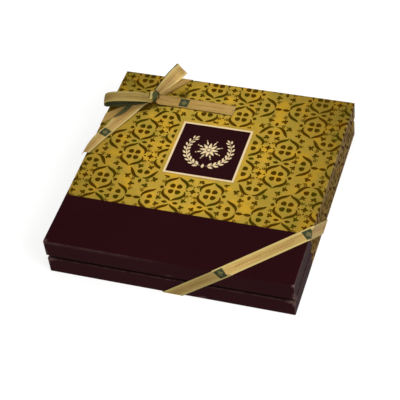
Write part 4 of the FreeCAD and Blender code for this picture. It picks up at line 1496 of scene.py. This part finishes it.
def build_truffles():
    k = Mesh()
    for n, (x, y) in enumerate(spots("F")):
        rings = []
        for i in range(56):
            a = math.radians(-40.5 + (130.0) * i / 55)
            r, z = 11.7 * math.cos(a), 8.0 + 11.7 * math.sin(a)
            ring = []
            for j in range(110):
                f = 2 * math.pi * j / 110
                p = Vector((r * math.cos(f), r * math.sin(f), z - 8.0))
                s = p + Vector((31.0 * n, 17.0, 5.0))
                bumpy = 0.30 * noise.noise(s * 0.16) + 0.26 * noise.noise(s * 0.55) + 0.16 * noise.noise(s * 1.5)
                p *= 1 + max(min(bumpy, 0.26), -0.5) / 11.7
                ring.append((p.x, p.y, max(p.z + 8.0, 0.02)))
            rings.append(place(ring, x, y))
        rings_up(k, rings, 0)
    return k.make("pralines_truffle", [cocoa()], smooth=True)


for made, node, slot in (
    (build_squares(), "praline_square", "dark_chocolate"),
    (build_domes(), "praline_dome", "milk_chocolate"),
    (build_logs(), "praline_log", "dark_chocolate"),
    (build_ovals(), "praline_oval", "white_chocolate"),
    (build_cups(), "praline_cup", "milk_chocolate"),
    (build_nuts(), "hazelnut_toppings", "nut"),
    (build_truffles(), "praline_truffle", "cocoa"),
):
    face_out(made)
    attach(made, "tray")
    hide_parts(node)


# ------------------------------------------------------------------ cushion pad
def pad_paper():
    k = Mat("pad_paper")
    fine, broad = k.noise(1300.0, 4.0, 0.65), k.noise(40.0, 2.0)
    k.set(Base_Color=k.mix(k.span(k.math("ADD", k.math("MULTIPLY", broad, 0.5), k.math("MULTIPLY", fine, 0.5)), 0.35, 0.65), (0.80, 0.735, 0.60), (0.86, 0.80, 0.675)))
    k.set(Roughness=k.span(fine, 0.3, 0.7, 0.46, 0.62), Specular_IOR_Level=0.35, Subsurface_Weight=0.05, Subsurface_Radius=(0.003, 0.002, 0.001))
    b = k.bump(fine, 0.30, 0.10)
    k.bump(k.noise(240.0, 2.0), 0.22, 0.22, b)
    return k.m


def build_pad():
    """A quilted paper cushion: pillows between crossed lines of embossing, drawn thin at a crimped rim."""
    k = Mesh()
    half, n, pitch = 99.0, 208, 16.5

    def swell(x, y):
        u, v = (x + y) / pitch / math.sqrt(2), (x - y) / pitch / math.sqrt(2)
        p = (abs(math.sin(math.pi * u)) * abs(math.sin(math.pi * v))) ** 0.55
        rim = min(half - abs(x), half - abs(y))
        p *= smoothstep(2.2, 7.5, rim)
        wrinkle = 0.10 * noise.noise(Vector((x * 0.11, y * 0.11, 3.0))) + 0.06 * noise.noise(Vector((x * 0.5, y * 0.5, 9.0))) * p
        crimp = 0.10 * math.sin((x if half - abs(y) < half - abs(x) else y) * 2 * math.pi / 1.9) * (1 - smoothstep(1.6, 3.0, rim))
        return p, wrinkle, crimp

    def plan(i, j):
        x, y = -half + 2 * half * i / n, -half + 2 * half * j / n
        c = 4.0  # soft corners
        ex, ey = abs(x) - (half - c), abs(y) - (half - c)
        if ex > 0 and ey > 0:
            m = max(ex, ey) / math.hypot(ex, ey)
            x, y = math.copysign(half - c + ex * m, x), math.copysign(half - c + ey * m, y)
        pull = 1 - 0.004 * (1 - (abs(x) / half) ** 2) * smoothstep(0.9, 1.0, abs(y) / half)
        pull_x = 1 - 0.004 * (1 - (abs(y) / half) ** 2) * smoothstep(0.9, 1.0, abs(x) / half)
        return x * pull_x, y * pull

    top, low = [], []
    for j in range(n + 1):
        a, b = [], []
        for i in range(n + 1):
            x, y = plan(i, j)
            p, w, c = swell(x, y)
            a.append(k.vert((x, y, 28.3 + 0.22 + 1.42 * p + w + c)))
            b.append(k.vert((x, y, 28.3 - 0.22 - 1.30 * p + w + c)))
        top.append(a)
        low.append(b)
    k.grid(top)
    k.grid(low, flip=True)
    rim = lambda g: g[0][:-1] + [r[-1] for r in g][:-1] + g[-1][:0:-1] + [r[0] for r in g][:0:-1]
    k.grid([rim(low), rim(top)], close=True)
    return k.make("pad_quilted", [pad_paper()], smooth=True)


pad = build_pad()
face_out(pad)
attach(pad, "pad")
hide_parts("cushion_pad")


# ------------------------------------------------------------------ stage, light, camera
floor = Mat("floor")
floor.set(Base_Color=floor.mix(floor.noise(3.0, 2.0), (0.33, 0.33, 0.33), (0.34, 0.34, 0.34)), Roughness=0.9, Specular_IOR_Level=0.1, Emission_Color=(1.0, 1.0, 1.0, 1.0), Emission_Strength=0.735)
stage = mesh_object("floor", [(-6000, -6000, -0.02), (6000, -6000, -0.02), (6000, 6000, -0.02), (-6000, 6000, -0.02)], [(0, 1, 2, 3)], [floor.m])

world = bpy.data.worlds.new("studio")
SCENE.world = world
world.use_nodes = True
world.node_tree.nodes["Background"].inputs[0].default_value = (1.0, 0.99, 0.97, 1.0)
world.node_tree.nodes["Background"].inputs[1].default_value = 0.47
SCENE.view_settings.view_transform = "Standard"


def lamp(name, at, aim, size, power, colour=(1, 1, 1), size_y=None, roll=0.0):
    d = bpy.data.lights.new(name, "AREA")
    d.shape = "RECTANGLE"
    d.size, d.size_y = size, size_y or size
    d.energy = power
    d.color = colour
    o = bpy.data.objects.new(name, d)
    o.location = at
    o.rotation_euler = ((Vector(aim) - Vector(at)).to_track_quat("-Z", "Y") @ Quaternion((0, 0, 1), math.radians(roll))).to_euler()
    SCENE.collection.objects.link(o)
    return o


lamp("key", (-0.322, 0.772, 0.93), (0.0, 0.0, 0.02), 0.12, 0.91, (1.0, 0.95, 0.86), 0.60, -28)
lamp("main", (0.60, -0.42, 0.66), (0.0, 0.0, 0.02), 0.5, 5.6)
lamp("top", (-0.25, -0.35, 1.7), (0.0, 0.0, 0.02), 1.2, 5.2)
lamp("rim", (0.55, 0.95, 0.62), (0.0, 0.0, 0.02), 0.5, 2.0)

AZ, EL, ROLL = math.radians(22.548), math.radians(46.581), math.radians(-7.484)
back = Vector((math.sin(AZ) * math.cos(EL), -math.cos(AZ) * math.cos(EL), math.sin(EL)))
right = (-back).cross(Vector((0, 0, 1))).normalized()
up = right.cross(-back)
cx = math.cos(ROLL) * right + math.sin(ROLL) * up
cy = -math.sin(ROLL) * right + math.cos(ROLL) * up
cam = bpy.data.cameras.new("camera")
cam.sensor_fit = "HORIZONTAL"
cam.sensor_width = 36.0
cam.lens = 1397.58 / 400 * 36.0
cam.clip_start, cam.clip_end = 0.05, 50.0
eye = bpy.data.objects.new("camera", cam)
eye.matrix_world = Matrix.Translation(Vector((-0.00671, -0.00087, 0.0)) + back * 1.2029) @ Matrix((cx, cy, back)).transposed().to_4x4()
SCENE.collection.objects.link(eye)
SCENE.camera = eye
